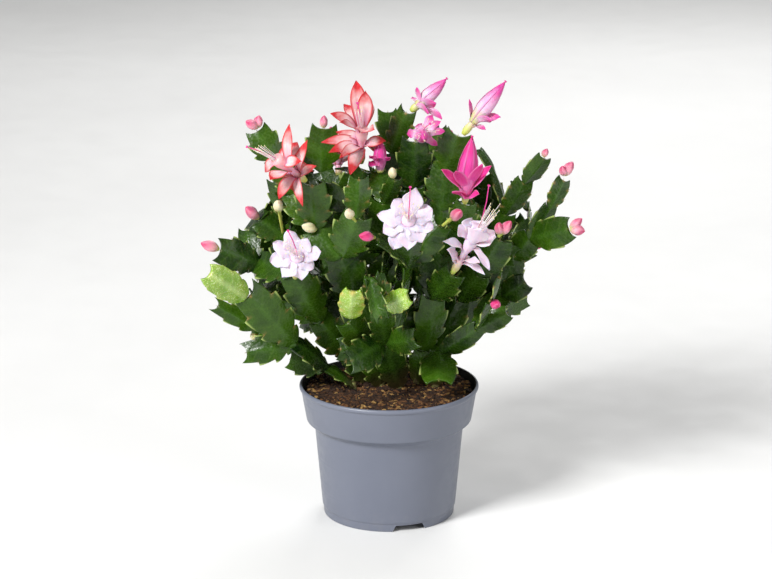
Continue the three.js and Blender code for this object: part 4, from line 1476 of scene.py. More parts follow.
@dataclass
class Infill:
    """Grows the inner segments: they fork off the others, wherever there is room behind the front ones.

    Attributes:
        blooms: Points on the flowers.
        buds: Points on the buds.
        dice: Source of random numbers.
    """

    blooms: np.ndarray
    buds: np.ndarray
    dice: PlainDice
    lengths: tuple[float, float] = (0.022, 0.029)
    widths: tuple[float, float] = (0.017, 0.023)
    fork_on: tuple[float, float] = (0.2, 1.0)
    fork_aside: tuple[float, float] = (0.4, 1.0)
    fork_up: float = 0.35
    face_up: float = 0.3
    root_depth: float = 0.0012
    setback: float = 0.0009
    behind: float = 0.005
    cell: float = 0.002
    cells: tuple[int, int] = (160, 170)
    cell_middle: int = 80
    cell_spread: int = 2
    gap_reach: int = 3
    hull_centre: Place = (0.0, 0.012, 0.168)
    hull_radii: Place = (0.112, 0.100, 0.105)
    soil_clear: float = 0.006
    low_below: float = 0.024
    low_reach: float = 0.05
    reach: float = 0.05
    along_shares: tuple[float, ...] = (0.3, 0.5, 0.7, 0.85, 1.0)
    across_shares: tuple[float, ...] = (-0.9, -0.45, 0.0, 0.45, 0.9)
    carriers: list[tuple[str, SegmentFrame]] = field(init=False)
    taken: list[np.ndarray] = field(init=False)
    depths: np.ndarray = field(init=False)

    def __post_init__(self) -> None:
        """Starts from the known segments."""
        self.carriers = [(stem.name, lie) for stem in STEMS for lie in stem.frames]
        self.taken = [self.spots(lie) for _, lie in self.carriers]
        self.depths = self.front_depths()

    def spots(self, lie: SegmentFrame) -> np.ndarray:
        """Spreads test points over a segment."""
        foot, along, across = (np.array(v) for v in (lie.foot, lie.along, lie.across))
        points = [
            foot + along * (u * lie.length) + across * (v * lie.wide / 2)
            for u in self.along_shares
            for v in self.across_shares
        ]
        return np.array(points)

    def cells_of(self, points: np.ndarray) -> np.ndarray:
        """Tells the cells of the front view in which points are seen."""
        sin, cos = math.sin(VIEW_TILT), math.cos(VIEW_TILT)
        rise = points[:, 2] - VIEW_CENTRE
        way = VIEW_DISTANCE + points[:, 1] * cos - rise * sin
        x = points[:, 0] * VIEW_DISTANCE / way
        h = VIEW_CENTRE + (rise * cos + points[:, 1] * sin) / way * VIEW_DISTANCE / cos
        seen_at = np.stack([x / self.cell, h / self.cell], axis=1)
        return np.floor(seen_at + 0.5).astype(int) + np.array([self.cell_middle, 0])

    def front_depths(self) -> np.ndarray:
        """Finds how near the known segments come to the viewer in each cell of the front view.

        Returns:
            The least y in each cell; a segment's points also count for the cells around their own.
        """
        depths = np.full(self.cells, np.inf)
        spread = self.cell_spread
        for points in self.taken:
            for (column, row), y in zip(self.cells_of(points), points[:, 1]):
                part = depths[column - spread : column + spread + 1, row - spread : row + spread + 1]
                np.minimum(part, y, out=part)
        return depths

    def fill_gaps(self) -> None:
        """Counts the narrow gaps between front segments as covered, so that what lies behind fills them."""
        reach = range(-self.gap_reach, self.gap_reach + 1)
        steps = [(i, j) for i in reach for j in reach]
        grown = np.min([np.roll(self.depths, step, (0, 1)) for step in steps], axis=0)
        shrunk = np.max([np.roll(grown, step, (0, 1)) for step in steps], axis=0)
        self.depths = np.minimum(self.depths, shrunk)

    def within(self, points: np.ndarray) -> bool:
        """Tells whether points are within the plant's rounded form and over the soil."""
        share = (points - np.array(self.hull_centre)) / np.array(self.hull_radii)
        if (np.sum(share**2, axis=1) > 1).any():
            return False
        low = points[points[:, 2] < SOIL_LEVEL + self.low_below]
        if len(low) and np.hypot(low[:, 0], low[:, 1]).max() > self.low_reach:
            return False
        return bool(points[:, 2].min() > SOIL_LEVEL + self.soil_clear)

    def hidden(self, points: np.ndarray) -> bool:
        """Tells whether points all lie behind the front segments."""
        cells = self.cells_of(points)
        return bool((points[:, 1] > self.depths[cells[:, 0], cells[:, 1]] + self.behind).all())

    def grown(self, room: Room) -> dict[str, list[SegmentFrame]]:
        """Grows segments.

        Args:
            room: How many, and how much room they need.

        Returns:
            The new segments of each stem.
        """
        made: dict[str, list[SegmentFrame]] = {stem.name: [] for stem in STEMS}
        count = 0
        for _ in range(room.tries):
            if count == room.wanted:
                break
            index = math.floor(self.dice.roll() * len(self.carriers))
            name, parent = self.carriers[index]
            lie = self.forked(parent)
            points = self.spots(lie)
            if not self.within(points) or not self.hidden(points) or not self.fits(points, index, room):
                continue
            self.carriers.append((name, lie))
            self.taken.append(points)
            made[name].append(lie)
            count += 1
        log.info("inner segments: %d", count)
        return made

    def fits(self, points: np.ndarray, parent: int, room: Room) -> bool:
        """Tells whether a segment has the room that it needs.

        Args:
            points: Points on it.
            parent: The index of the segment that it grows from.
            room: The room that it needs.

        Returns:
            True if it fits.
        """
        if self.gaps(points, self.blooms).min() < room.of_blooms:
            return False
        if self.gaps(points, self.buds).min() < room.of_buds:
            return False
        others = np.concatenate(self.taken[:parent] + self.taken[parent + 1 :])
        close = others[(np.abs(others - points.mean(axis=0)) < self.reach).all(axis=1)]
        if not len(close):
            return False
        gaps = self.gaps(points, close)
        return bool(gaps.min() >= room.clear and room.outer[0] <= gaps.max() <= room.outer[1])

    def forked(self, parent: SegmentFrame) -> SegmentFrame:
        """Draws a segment that forks off another one's end."""
        around = 2 * math.pi * self.dice.roll()
        lift = 2 * self.dice.roll() - 1
        flat = math.sqrt(1 - lift**2)
        aside = Vector((math.cos(around) * flat, math.sin(around) * flat, lift))
        way = parent.along * self.dice.between(*self.fork_on)
        way += aside * self.dice.between(*self.fork_aside)
        way = (way + Vector((0, 0, self.fork_up))).normalized()
        length = self.dice.between(*self.lengths)
        facing = 2 * math.pi * self.dice.roll()
        face = Vector((math.cos(facing), math.sin(facing), self.face_up))
        wide = self.dice.between(*self.widths)
        foot = parent.end - way * self.root_depth - parent.along * self.setback
        return SegmentFrame.between(foot, foot + way * length, face, 0, wide)

    @staticmethod
    def gaps(points: np.ndarray, others: np.ndarray) -> np.ndarray:
        """Returns the distance from each point to the nearest of the others."""
        squares = (points**2).sum(axis=1)[:, None] + (others**2).sum(axis=1)[None]
        squares -= 2 * points @ others.T
        return np.sqrt(np.maximum(squares, 0).min(axis=1))


@dataclass(frozen=True)
class Habit:
    """How one segment differs from the next."""

    fold: float
    wave: float
    phase: float
    twist: float
    tone: float
    wood: float
    corky: float

    @classmethod
    def drawn(cls, dice: np.random.Generator, wood: float, brightest: float = 1.0) -> "Habit":
        """Draws a segment's habit.

        Args:
            dice: Source of random numbers.
            wood: How woody its lower end is, from 0 to 1.
            brightest: The brightest tone that it may have.

        Returns:
            The habit.
        """
        return cls(
            fold=float(dice.uniform(0.02, 0.12)),
            wave=float(dice.uniform(0.0002, 0.0007)),
            phase=float(dice.uniform(0, 2 * math.pi)),
            twist=float(dice.uniform(-0.16, 0.16)),
            tone=float(dice.uniform(0, brightest)),
            wood=wood,
            corky=0.7 if dice.uniform() > 0.8 else 0.12,
        )


@dataclass(frozen=True)
class SegmentShape:
    """The form of a segment: a flat, fleshy blade with forward teeth and two horns at its cut-off end.

    Along it, u is the share of its length; across it, v is the share of half its width.
    """

    foot: float = 0.1
    teeth: tuple[tuple[float, float], ...] = ((0.2, 0.64), (0.43, 1.0), (0.75, 1.0), (1.07, 0.64))
    notch_ahead: float = 0.014
    notch_depth: float = 0.76
    flank: float = 1.7
    steps: int = 6
    end: float = 0.955
    columns: tuple[float, ...] = (0.0, 0.13, 0.38, 0.7, 0.93, 1.0)
    edge: float = 0.0003
    body: float = 0.00085
    rib: float = 0.0005
    rib_reach: float = 0.0013
    bow: float = 0.05
    areole_reach: float = 0.0008

    @cached_property
    def outline(self) -> list[tuple[float, float]]:
        """Half its outline from foot to end, as u and v."""
        points = [(0.0, self.foot)]
        u0, v0 = points[0]
        for u1, v1 in self.teeth:
            rising = v1 > v0
            for i in range(1, self.steps + 1):
                t = i / self.steps
                swing = 1 - (1 - t) ** self.flank if rising else t**self.flank
                points.append((u0 + (u1 - u0) * t, v0 + (v1 - v0) * swing))
            u0, v0 = u1 + self.notch_ahead, v1 * self.notch_depth
            points.append((u0, v0))
        points.pop()
        horn_u, horn_v = points[-1]
        for i in range(1, self.steps + 1):
            t = i / self.steps
            points.append((self.end + (horn_u - self.end) * (1 - t) ** 2.6, horn_v * (1 - t) + 0.03 * t))
        return points

    @cached_property
    def notches(self) -> list[tuple[float, float]]:
        """The areoles' places: the notches behind the teeth and the middle of the end."""
        tips = self.teeth[:-1]
        return [(u + self.notch_ahead, v * self.notch_depth) for u, v in tips] + [(self.end, 0.0)]

    @cached_property
    def shape(self) -> Shape:
        """The blade that every segment is bent from."""
        return blade_shape(2 * (len(self.columns) - 1), len(self.outline) - 1)

    @cached_property
    def cage(self) -> tuple[np.ndarray, np.ndarray, np.ndarray]:
        """The u, the v and the side of each point of the blade."""
        points = self.shape.points
        half = len(self.columns) - 1
        column = np.rint(points[:, 0] * half).astype(int)
        row = np.rint(points[:, 1] * (len(self.outline) - 1)).astype(int)
        edge_u, edge_v = np.array(self.outline).T[:, row]
        steps = np.hypot(*np.diff(np.array(self.outline), axis=0).T)
        way = np.concatenate(([0.0], np.cumsum(steps)))
        middle_u = self.end * (way / way[-1])[row]
        share = np.array(self.columns)[np.abs(column)]
        u = middle_u + (edge_u - middle_u) * share
        return u, np.sign(column) * share * edge_v, np.sign(points[:, 2])

    def bent(self, lie: SegmentFrame, habit: Habit) -> np.ndarray:
        """Bends the blade to where a segment lies.

        Args:
            lie: The segment's frame.
            habit: How it differs from the others.

        Returns:
            The points.
        """
        u, v, side = self.cage
        half = v * lie.wide / 2
        rib = np.exp(-((half / self.rib_reach) ** 2)) * (1 - 0.5 * u)
        thick = self.edge + (self.body - self.edge) * np.clip(1 - v**2, 0, 1) + self.rib * rib
        wave = habit.wave * v**2 * np.sin(2 * math.pi * 1.6 * u + habit.phase + 2 * np.sign(v))
        arch = 4 * self.bow * lie.length * u * (1 - u)
        lift = arch - habit.fold * np.abs(half) + wave + side * thick
        turn = habit.twist * (u - 0.5)
        across = half * np.cos(turn) - lift * np.sin(turn)
        out = half * np.sin(turn) + lift * np.cos(turn)
        axes = np.array([lie.along, lie.across, lie.out])
        return np.array(lie.foot) + np.stack([u * lie.length, across, out], axis=1) @ axes

    def tint(self, lie: SegmentFrame, habit: Habit) -> np.ndarray:
        """Tells the tone, the wood and the cork of each point, and its place along.

        Args:
            lie: The segment's frame.
            habit: How it differs from the others.

        Returns:
            Four values for each point.
        """
        u, _, _ = self.cage
        wood = habit.wood * np.clip(1.1 - 2.2 * u, 0, 1)
        return np.stack([np.full(len(u), habit.tone), wood, habit.corky * self.areoles(lie), u], axis=1)

    def add_to(self, gathering: Gathering, lie: SegmentFrame, habit: Habit) -> None:
        """Adds the blade, bent to where a segment lies."""
        u, v, _ = self.cage
        places = np.stack([0.5 + 0.5 * v, u], axis=1)
        gathering.add(self.shape, self.bent(lie, habit), places, self.tint(lie, habit))

    def areoles(self, lie: SegmentFrame) -> np.ndarray:
        """Tells how near each point is to an areole, from 0 to 1."""
        u, v, _ = self.cage
        near = np.zeros(len(u))
        for place_u, place_v in self.notches:
            far = np.hypot((u - place_u) * lie.length, (np.abs(v) - place_v) * lie.wide / 2)
            near = np.maximum(near, np.exp(-((far / self.areole_reach) ** 2)))
        return near


@dataclass
class LeafyStem:
    """One rooted stem with all its segments, the woody neck it stands on, and its areoles' bristles."""

    stem: Stem
    segment: SegmentShape
    neck_radius: float = 0.0031
    neck_depth: float = 0.015
    neck_rise: float = 0.004
    bristle: float = 0.0018
    bristles: int = 3
    bristle_radius: float = 0.00009
    # Inner segments are held to darker tones: painted shade for the plant's shaded interior.
    inner_painted_shade_tone: float = 0.5

    @property
    def short_name(self) -> str:
        """The stem's name without the word stem."""
        return self.stem.name.removeprefix("stem_")

    def build(
        self,
        inner: list[SegmentFrame],
        leaf: bpy.types.Material,
        tube: Shape,
        hair: Shape,
        dice: np.random.Generator,
    ) -> None:
        """Builds the stem and puts it in the place of its node.

        Args:
            inner: The frames of its inner segments that the node has too.
            leaf: The finish of the segments.
            tube: Shape of the neck.
            hair: Shape of a bristle.
            dice: Source of random numbers.
        """
        gathering = Gathering()
        for pad, lie in zip(self.stem.pads, self.stem.frames):
            self.add_segment(gathering, lie, 1.0 if pad.on < 0 else 0.0, hair, dice)
        for lie in inner:
            # Inner segments take the darker tones, as painted shade.
            self.add_segment(gathering, lie, 0.0, hair, dice, self.inner_painted_shade_tone)
        self.add_neck(gathering, tube)
        piece = gathering.made("segments_" + self.short_name, [leaf])
        settle(piece, Slot.SEGMENT, self.stem.name)

    def build_inner(
        self, lies: list[SegmentFrame], leaf: bpy.types.Material, hair: Shape, dice: np.random.Generator
    ) -> None:
        """Builds the further segments that grow from this stem behind the others.

        Args:
            lies: Their frames.
            leaf: Their finish.
            hair: Shape of a bristle.
            dice: Source of random numbers.
        """
        if not lies:
            return
        gathering = Gathering()
        for lie in lies:
            # Inner segments take the darker tones, as painted shade.
            self.add_segment(gathering, lie, 0.0, hair, dice, self.inner_painted_shade_tone)
        settle(gathering.made("inner_" + self.short_name, [leaf]), Slot.SEGMENT)

    def add_segment(
        self,
        gathering: Gathering,
        lie: SegmentFrame,
        wood: float,
        hair: Shape,
        dice: np.random.Generator,
        brightest: float = 1.0,
    ) -> None:
        """Adds one segment with its bristles.

        Args:
            gathering: Where it goes.
            lie: Its frame.
            wood: How woody its lower end is, from 0 to 1.
            hair: Shape of a bristle.
            dice: Source of random numbers.
            brightest: The brightest tone that it may have.
        """
        self.segment.add_to(gathering, lie, Habit.drawn(dice, wood, brightest))
        self.add_bristles(gathering, lie, hair, dice)

    def add_bristles(
        self, gathering: Gathering, lie: SegmentFrame, hair: Shape, dice: np.random.Generator
    ) -> None:
        """Adds the short bristles that stand in a segment's notches.

        Args:
            gathering: Where they go.
            lie: The segment's frame.
            hair: Shape of a bristle.
            dice: Source of random numbers.
        """
        for u, v in self.segment.notches:
            for side in (-1, 1):
                base = lie.foot + lie.along * (u * lie.length) + lie.across * (side * v * lie.wide / 2)
                base += lie.out * (4 * self.segment.bow * lie.length * u * (1 - u))
                for _ in range(self.bristles):
                    way = lie.along + lie.across * (side * v + dice.uniform(-0.5, 0.5))
                    way += lie.out * dice.uniform(-0.5, 0.5)
                    tip = base + way.normalized() * (self.bristle * dice.uniform(0.5, 1))
                    radii = [self.bristle_radius, self.bristle_radius / 3]
                    points = swept(hair, base, (base + tip) / 2, tip, radii)
                    gathering.add(hair, points, tint=(0.5, 0.0, 0.6, 0.0))

    def add_neck(self, gathering: Gathering, tube: Shape) -> None:
        """Adds the woody neck that stands in the soil.

        Args:
            gathering: Where it goes.
            tube: Shape of a tube.
        """
        x, y = self.stem.root
        low = Vector((x, y, SOIL_LEVEL - self.neck_depth))
        high = Vector((x, y, SOIL_LEVEL + self.neck_rise))
        radii = [self.neck_radius, self.neck_radius, self.neck_radius * 0.95, self.neck_radius * 0.7]
        points = swept(tube, low, (low + high) / 2, high, radii)
        gathering.add(tube, points, tint=(0.5, 1.0, 0.0, 0.0))


def swept(tube: Shape, start: Vector, bend: Vector, end: Vector, radii: list[float]) -> np.ndarray:
    """Lays a tube along a curve.

    Args:
        tube: A tube of radius 1 and length 1 along z.
        start: Where it starts.
        bend: The point that it leans to.
        end: Where it ends.
        radii: Its radii, spread evenly along it.

    Returns:
        The points.
    """
    u = tube.points[:, 2]
    centre, way = along_curve(start, bend, end, u)
    whole = np.array((end - start).normalized())
    guide = np.array((0.0, 0.0, 1.0)) if abs(whole[2]) < 0.9 else np.array((1.0, 0.0, 0.0))
    side = np.cross(guide, way)
    side /= np.linalg.norm(side, axis=1)[:, None]
    up = np.cross(way, side)
    radius = np.interp(u, np.linspace(0, 1, len(radii)), radii)[:, None]
    return centre + radius * (tube.points[:, :1] * side + tube.points[:, 1:2] * up)


@dataclass
class YoungSegment:
    """A young, lime-coloured segment on the end of an older one."""

    young: Young
    segment: SegmentShape = field(
        default_factory=lambda: SegmentShape(
            foot=0.3,
            teeth=((0.28, 0.86), (0.55, 1.0), (0.82, 0.9), (1.04, 0.52)),
            notch_depth=0.9,
            notch_ahead=0.03,
            body=0.0012,
            rib=0.0003,
            areole_reach=0.0022,
        )
    )
    foot: float = 0.001

    def build(self, carrier: SegmentFrame, lime: bpy.types.Material, dice: np.random.Generator) -> None:
        """Builds the segment and puts it in the place of its node.

        Args:
            carrier: The segment that carries it.
            lime: Its finish.
            dice: Source of random numbers.
        """
        end = seen(*self.young.tip)
        seat = Seat.on(carrier, end, self.foot)
        lie = SegmentFrame.between(seat.base, end, Vector(Facing.FRONT.value), 0, self.young.wide)
        gathering = Gathering()
        self.segment.add_to(gathering, lie, Habit.drawn(dice, 0.0))
        settle(gathering.made(self.young.name + "_segment", [lime]), Slot.YOUNG, self.young.name)


# Flowers and buds


class PetalStyle(Enum):
    """The forms that petals have: where they are widest, and how blunt they end."""

    POINTED = (0.55, 2.3)
    BROAD = (0.64, 2.7)


@dataclass(frozen=True)
class Petal:
    """One petal: its tip as seen, its width, where on the tube it starts and how far it follows the tube."""

    x: float
    h: float
    y: float
    wide: float
    rise: float = 0.9
    lift: float = 0.35
    cup: float = 0.22
    face: float = 0.55


@dataclass(frozen=True)
class Closed:
    """The petals that are still furled: where they start, their tip as seen, and how wide they swell."""

    rise: float
    tip: Place
    radius: float
    count: int = 5


@dataclass(frozen=True)
class PetalShape:
    """The form of a petal: a thin blade on a narrow claw, with a crease down its middle."""

    style: PetalStyle
    columns: int = 10
    rows: int = 18
    claw: float = 0.38
    middle: float = 0.00022
    edge: float = 0.00008
    crease: float = 0.06
    ruffle: float = 0.07
    frill: float = 0.0
    swell: tuple[tuple[float, float], ...] = (
        (0.0, 0.5),
        (0.15, 0.74),
        (0.4, 1.0),
        (0.62, 0.88),
        (0.82, 0.54),
        (0.94, 0.22),
        (1.0, 0.05),
    )
    wrap: float = 1.15

    @cached_property
    def shape(self) -> Shape:
        """The blade that every petal is bent from."""
        return blade_shape(self.columns, self.rows)

    @cached_property
    def places(self) -> np.ndarray:
        """The place of each of its points on the UV map."""
        points = self.shape.points
        return np.stack([0.5 + 0.5 * points[:, 0], points[:, 1]], axis=1)

    def width(self, u: np.ndarray) -> np.ndarray:
        """Tells the petal's width along it, as a share of its greatest."""
        widest, blunt = self.style.value
        low = self.claw + (1 - self.claw) * np.sin(np.minimum(u / widest, 1) * math.pi / 2)
        high = 1 - np.clip((u - widest) / (1 - widest), 0, 1) ** blunt
        return low * np.maximum(high, 0.04)

    def bent(self, root: Vector, axis: Vector, out: Vector, petal: Petal, phase: float) -> np.ndarray:
        """Bends the blade from its root to its tip.

        Args:
            root: Where it starts on the tube.
            axis: The tube's direction.
            out: The direction away from the tube there.
            petal: The petal.
            phase: Where its ruffles start.

        Returns:
            The points.
        """
        tip = seen(petal.x, petal.h, petal.y)
        far = (tip - root).length
        bend = root + (axis + out * 0.25).normalized() * (petal.lift * far)
        u, v = self.shape.points[:, 1], self.shape.points[:, 0]
        centre, way = along_curve(root, bend, tip, u)
        round_axis = axis.cross(out).normalized()
        to_front = (tip - root).cross(Vector(Facing.FRONT.value)).normalized()
        if to_front.dot(round_axis) < 0:
            to_front.negate()
        share = petal.face * u[:, None]
        turned = share * np.array(to_front) + (1 - share) * np.array(round_axis)
        inner = np.cross(turned, way)
        inner /= np.linalg.norm(inner, axis=1)[:, None]
        side = np.cross(way, inner)
        half = petal.wide / 2
        rag = 1 + self.frill * np.sin(phase + 11 * u + 3 * np.sign(v)) * u
        across = v * self.width(u) * half * rag
        ruffle = self.ruffle * half * v**2 * u * np.sin(phase + 3.3 * math.pi * u + 2.2 * np.sign(v))
        crease = self.crease * half * (1 - np.exp(-((v / 0.2) ** 2)))
        thick = self.edge + (self.middle - self.edge) * (1 - v**2)
        lift = petal.cup * half * v**2 * (1 - 0.6 * u) + ruffle + crease
        lift += np.sign(self.shape.points[:, 2]) * thick
        return centre + across[:, None] * side - lift[:, None] * inner

    def furled(self, start: Vector, axis: Vector, closed: Closed, index: int) -> np.ndarray:
        """Wraps the blade round the furled heart of a flower.

        Args:
            start: Where the furled petals start.
            axis: The tube's direction there.
            closed: The furled petals.
            index: Which of them this is.

        Returns:
            The points.
        """
        tip = seen(*closed.tip)
        u, v = self.shape.points[:, 1], self.shape.points[:, 0]
        along = u * (1 - 0.035 * (index % 3))
        centre, way = along_curve(start, start + axis * ((tip - start).length * 0.45), tip, along)
        side = np.cross(way, np.array((0.1, 1.0, 0.2)))
        side /= np.linalg.norm(side, axis=1)[:, None]
        up = np.cross(way, side)
        stations, radii = np.array(self.swell).T
        wide = np.interp(along, stations, radii) * closed.radius
        turn = 2 * math.pi * index / closed.count + v * self.wrap * (1 - 0.25 * u) + 0.5 * u
        thick = self.edge + (self.middle - self.edge) * (1 - v**2)
        away = wide * (1 + 0.10 * v + 0.03 * (index % 2)) + np.sign(self.shape.points[:, 2]) * thick
        away = np.maximum(away, 0.00005)[:, None]
        return centre + away * (np.cos(turn)[:, None] * side + np.sin(turn)[:, None] * up)


@dataclass(frozen=True)
class Bloom:
    """A flower: what carries it, its throat as seen, its petals, and where stamens and style end."""

    name: str
    stem: str
    pad: int
    slot: Slot
    tip: Place
    throat: Place
    petals: tuple[Petal, ...]
    stamens: Place
    style: Place
    shape: PetalStyle = PetalStyle.POINTED
    tube: float = 0.0042
    stamen_count: int = 18
    stamen_spread: float = 0.35
    closed: Closed | None = None


@dataclass(frozen=True)
class Tier:
    """A ring of petals: how many, where on the tube, how long, how far they lean out and how they bend."""

    count: int
    rise: float
    long: float
    lean: float
    lift: float


TIERS = (Tier(5, 0.5, 0.85, 1.75, 0.3), Tier(5, 0.78, 0.95, 1.35, 0.35), Tier(5, 0.97, 1.0, 0.85, 0.5))
CLOSED_LEAN = 0.12


def whorls(
    throat: Place, tip: Place, opened: float, size: float, broad: float, turn: float = 0.0
) -> tuple[Petal, ...]:
    """Spreads a flower's petals evenly in three tiers.

    Args:
        throat: The throat as seen.
        tip: Where the flower points to, as seen.
        opened: How far it is open, from 0 to 1.
        size: Length of its longest petals.
        broad: Their width.
        turn: Where the first petal stands, in radians.

    Returns:
        The petals.
    """
    middle = seen(*throat)
    axis = (seen(*tip) - middle).normalized()
    side = axis.cross(Vector((0.31, 0.2, 0.93))).normalized()
    up = side.cross(axis)
    petals = []
    for index, tier in enumerate(TIERS):
        lean = CLOSED_LEAN + (tier.lean - CLOSED_LEAN) * opened
        for i in range(tier.count):
            angle = turn + (i + 0.5 * index) * 2 * math.pi / tier.count
            out = side * math.cos(angle) + up * math.sin(angle)
            way = axis * math.cos(lean) + out * math.sin(lean)
            end = middle + way * (size * tier.long)
            petals.append(Petal(*unseen(end), broad, tier.rise, tier.lift))
    return tuple(petals)


def unseen(point: Vector) -> Place:
    """Turns a point into the place as it is seen from the front: the opposite of `seen`."""
    sin, cos = math.sin(VIEW_TILT), math.cos(VIEW_TILT)
    rise = point.z - VIEW_CENTRE
    way = VIEW_DISTANCE + point.y * cos - rise * sin
    slope = (rise * cos + point.y * sin) / way
    return (point.x * VIEW_DISTANCE / way, VIEW_CENTRE + slope * VIEW_DISTANCE / cos, point.y)


# The slots of a flower's materials after its petals
FILAMENT, ANTHER, STYLE = 1, 2, 3


@dataclass
class Flower:
    """Builds one flower of its tube, petals, stamens and style."""

    bloom: Bloom
    petal: PetalShape
    foot: float = 0.0015
    ovary: float = 0.0026
    neck: float = 0.0019
    filament: float = 0.00017
    anther: float = 0.0005
    style_radius: float = 0.00035
    stigma: float = 0.0011
    stigma_arms: int = 6

    def build(
        self,
        carrier: SegmentFrame,
        finishes: list[bpy.types.Material],
        tube: Shape,
        stalk: Shape,
        ball: Shape,
        dice: np.random.Generator,
    ) -> None:
        """Builds the flower and puts it in the place of its node.

        Args:
            carrier: The segment that carries it.
            finishes: The finishes of petals, filaments, anthers and style.
            tube: Shape of a thin tube.
            stalk: Shape of a finer tube.
            ball: Shape of a small ball.
            dice: Source of random numbers.
        """
        base = Seat.on(carrier, seen(*self.bloom.tip), self.foot).base
        seat = Seat.to(base, seen(*self.bloom.throat))
        gathering = Gathering()
        self.add_tube(gathering, seat, stalk)
        for petal in self.bloom.petals:
            self.add_petal(gathering, seat, petal, dice)
        if self.bloom.closed:
            self.add_closed(gathering, seat, self.bloom.closed, dice)
        self.add_stamens(gathering, seat, tube, ball, dice)
        self.add_style(gathering, seat, tube)
        piece = gathering.made(self.bloom.name.replace("bloom", "flower"), finishes)
        settle(piece, self.bloom.slot, self.bloom.name)

    def add_tube(self, gathering: Gathering, seat: Seat, tube: Shape) -> None:
        """Adds the green ovary and the coloured tube above it."""
        wide = self.bloom.tube
        radii = [self.foot, self.ovary, self.ovary * 0.95, self.neck, self.neck * 1.15]
        radii += [wide * 0.8, wide, wide * 0.96]
        end = seat.base + seat.axis * seat.reach
        points = swept(tube, seat.base, (seat.base + end) / 2, end, radii)
        along = tube.points[:, 2]
        places = np.stack([np.full(len(along), 0.62), along * 0.55], axis=1)
        green = np.clip(1.2 - along / 0.34, 0, 1)
        tint = np.stack([np.full(len(along), 0.5), green, np.zeros(len(along)), along], axis=1)
        gathering.add(tube, points, places, tint)

    def add_petal(self, gathering: Gathering, seat: Seat, petal: Petal, dice: np.random.Generator) -> None:
        """Adds one petal."""
        tip = seen(petal.x, petal.h, petal.y)
        start = seat.base + seat.axis * (petal.rise * seat.reach)
        aside = tip - start
        aside -= seat.axis * aside.dot(seat.axis)
        out = aside.normalized() if aside.length > 0.002 else seat.axis.orthogonal().normalized()
        radius = self.bloom.tube * (0.45 + 0.5 * petal.rise)
        points = self.petal.bent(start + out * radius, seat.axis, out, petal, dice.uniform(0, 6))
        tone = dice.uniform(0.2, 0.8)
        gathering.add(self.petal.shape, points, self.petal.places, (tone, 0.0, 0.0, 1.0))

    def add_closed(self, gathering: Gathering, seat: Seat, closed: Closed, dice: np.random.Generator) -> None:
        """Adds the petals that are still furled."""
        start = seat.base + seat.axis * (closed.rise * seat.reach)
        for index in range(closed.count):
            points = self.petal.furled(start, seat.axis, closed, index)
            tone = dice.uniform(0.2, 0.8)
            gathering.add(self.petal.shape, points, self.petal.places, (tone, 0.0, 0.0, 1.0))

    def add_stamens(
        self, gathering: Gathering, seat: Seat, tube: Shape, ball: Shape, dice: np.random.Generator
    ) -> None:
        """Adds the bundle of filaments, each with its anther."""
        throat = seat.base + seat.axis * (seat.reach * 0.9)
        end = seen(*self.bloom.stamens)
        whole = end - throat
        side = whole.orthogonal().normalized()
        up = whole.cross(side).normalized()
        for _ in range(self.bloom.stamen_count):
            angle, far = dice.uniform(0, 2 * math.pi), math.sqrt(dice.uniform(0.02, 1))
            aside = side * (math.cos(angle) * far) + up * (math.sin(angle) * far)
            start = throat + aside * (self.bloom.tube * 0.4)
            tip = throat + whole * dice.uniform(0.72, 1.0)
            tip += aside * (whole.length * self.bloom.stamen_spread / 2)
            bend = start + whole * 0.55 + aside * (whole.length * 0.05)
            points = swept(tube, start, bend, tip, [self.filament, self.filament * 0.8])
            gathering.add(tube, points, slot=FILAMENT)
            anther = ball.points * np.array((0.6, 0.6, 1.0)) * self.anther + np.array(tip)
            gathering.add(ball, anther, slot=ANTHER)

    def add_style(self, gathering: Gathering, seat: Seat, tube: Shape) -> None:
        """Adds the style with its lobed stigma."""
        throat = seat.base + seat.axis * (seat.reach * 0.85)
        tip = seen(*self.bloom.style)
        whole = tip - throat
        bend = throat + seat.axis * (whole.length * 0.5)
        radius = self.style_radius
        points = swept(tube, throat, bend, tip, [radius, radius, radius * 0.9])
        gathering.add(tube, points, slot=STYLE)
        side, ahead = whole.orthogonal().normalized(), whole.normalized()
        for i in range(self.stigma_arms):
            arm = side.copy()
            arm.rotate(Matrix.Rotation(2 * math.pi * i / self.stigma_arms, 3, ahead))
            end = tip + (arm + ahead * 0.8).normalized() * self.stigma
            points = swept(tube, tip, (tip + end) / 2, end, [radius, radius * 1.2, radius * 0.7])
            gathering.add(tube, points, slot=STYLE)


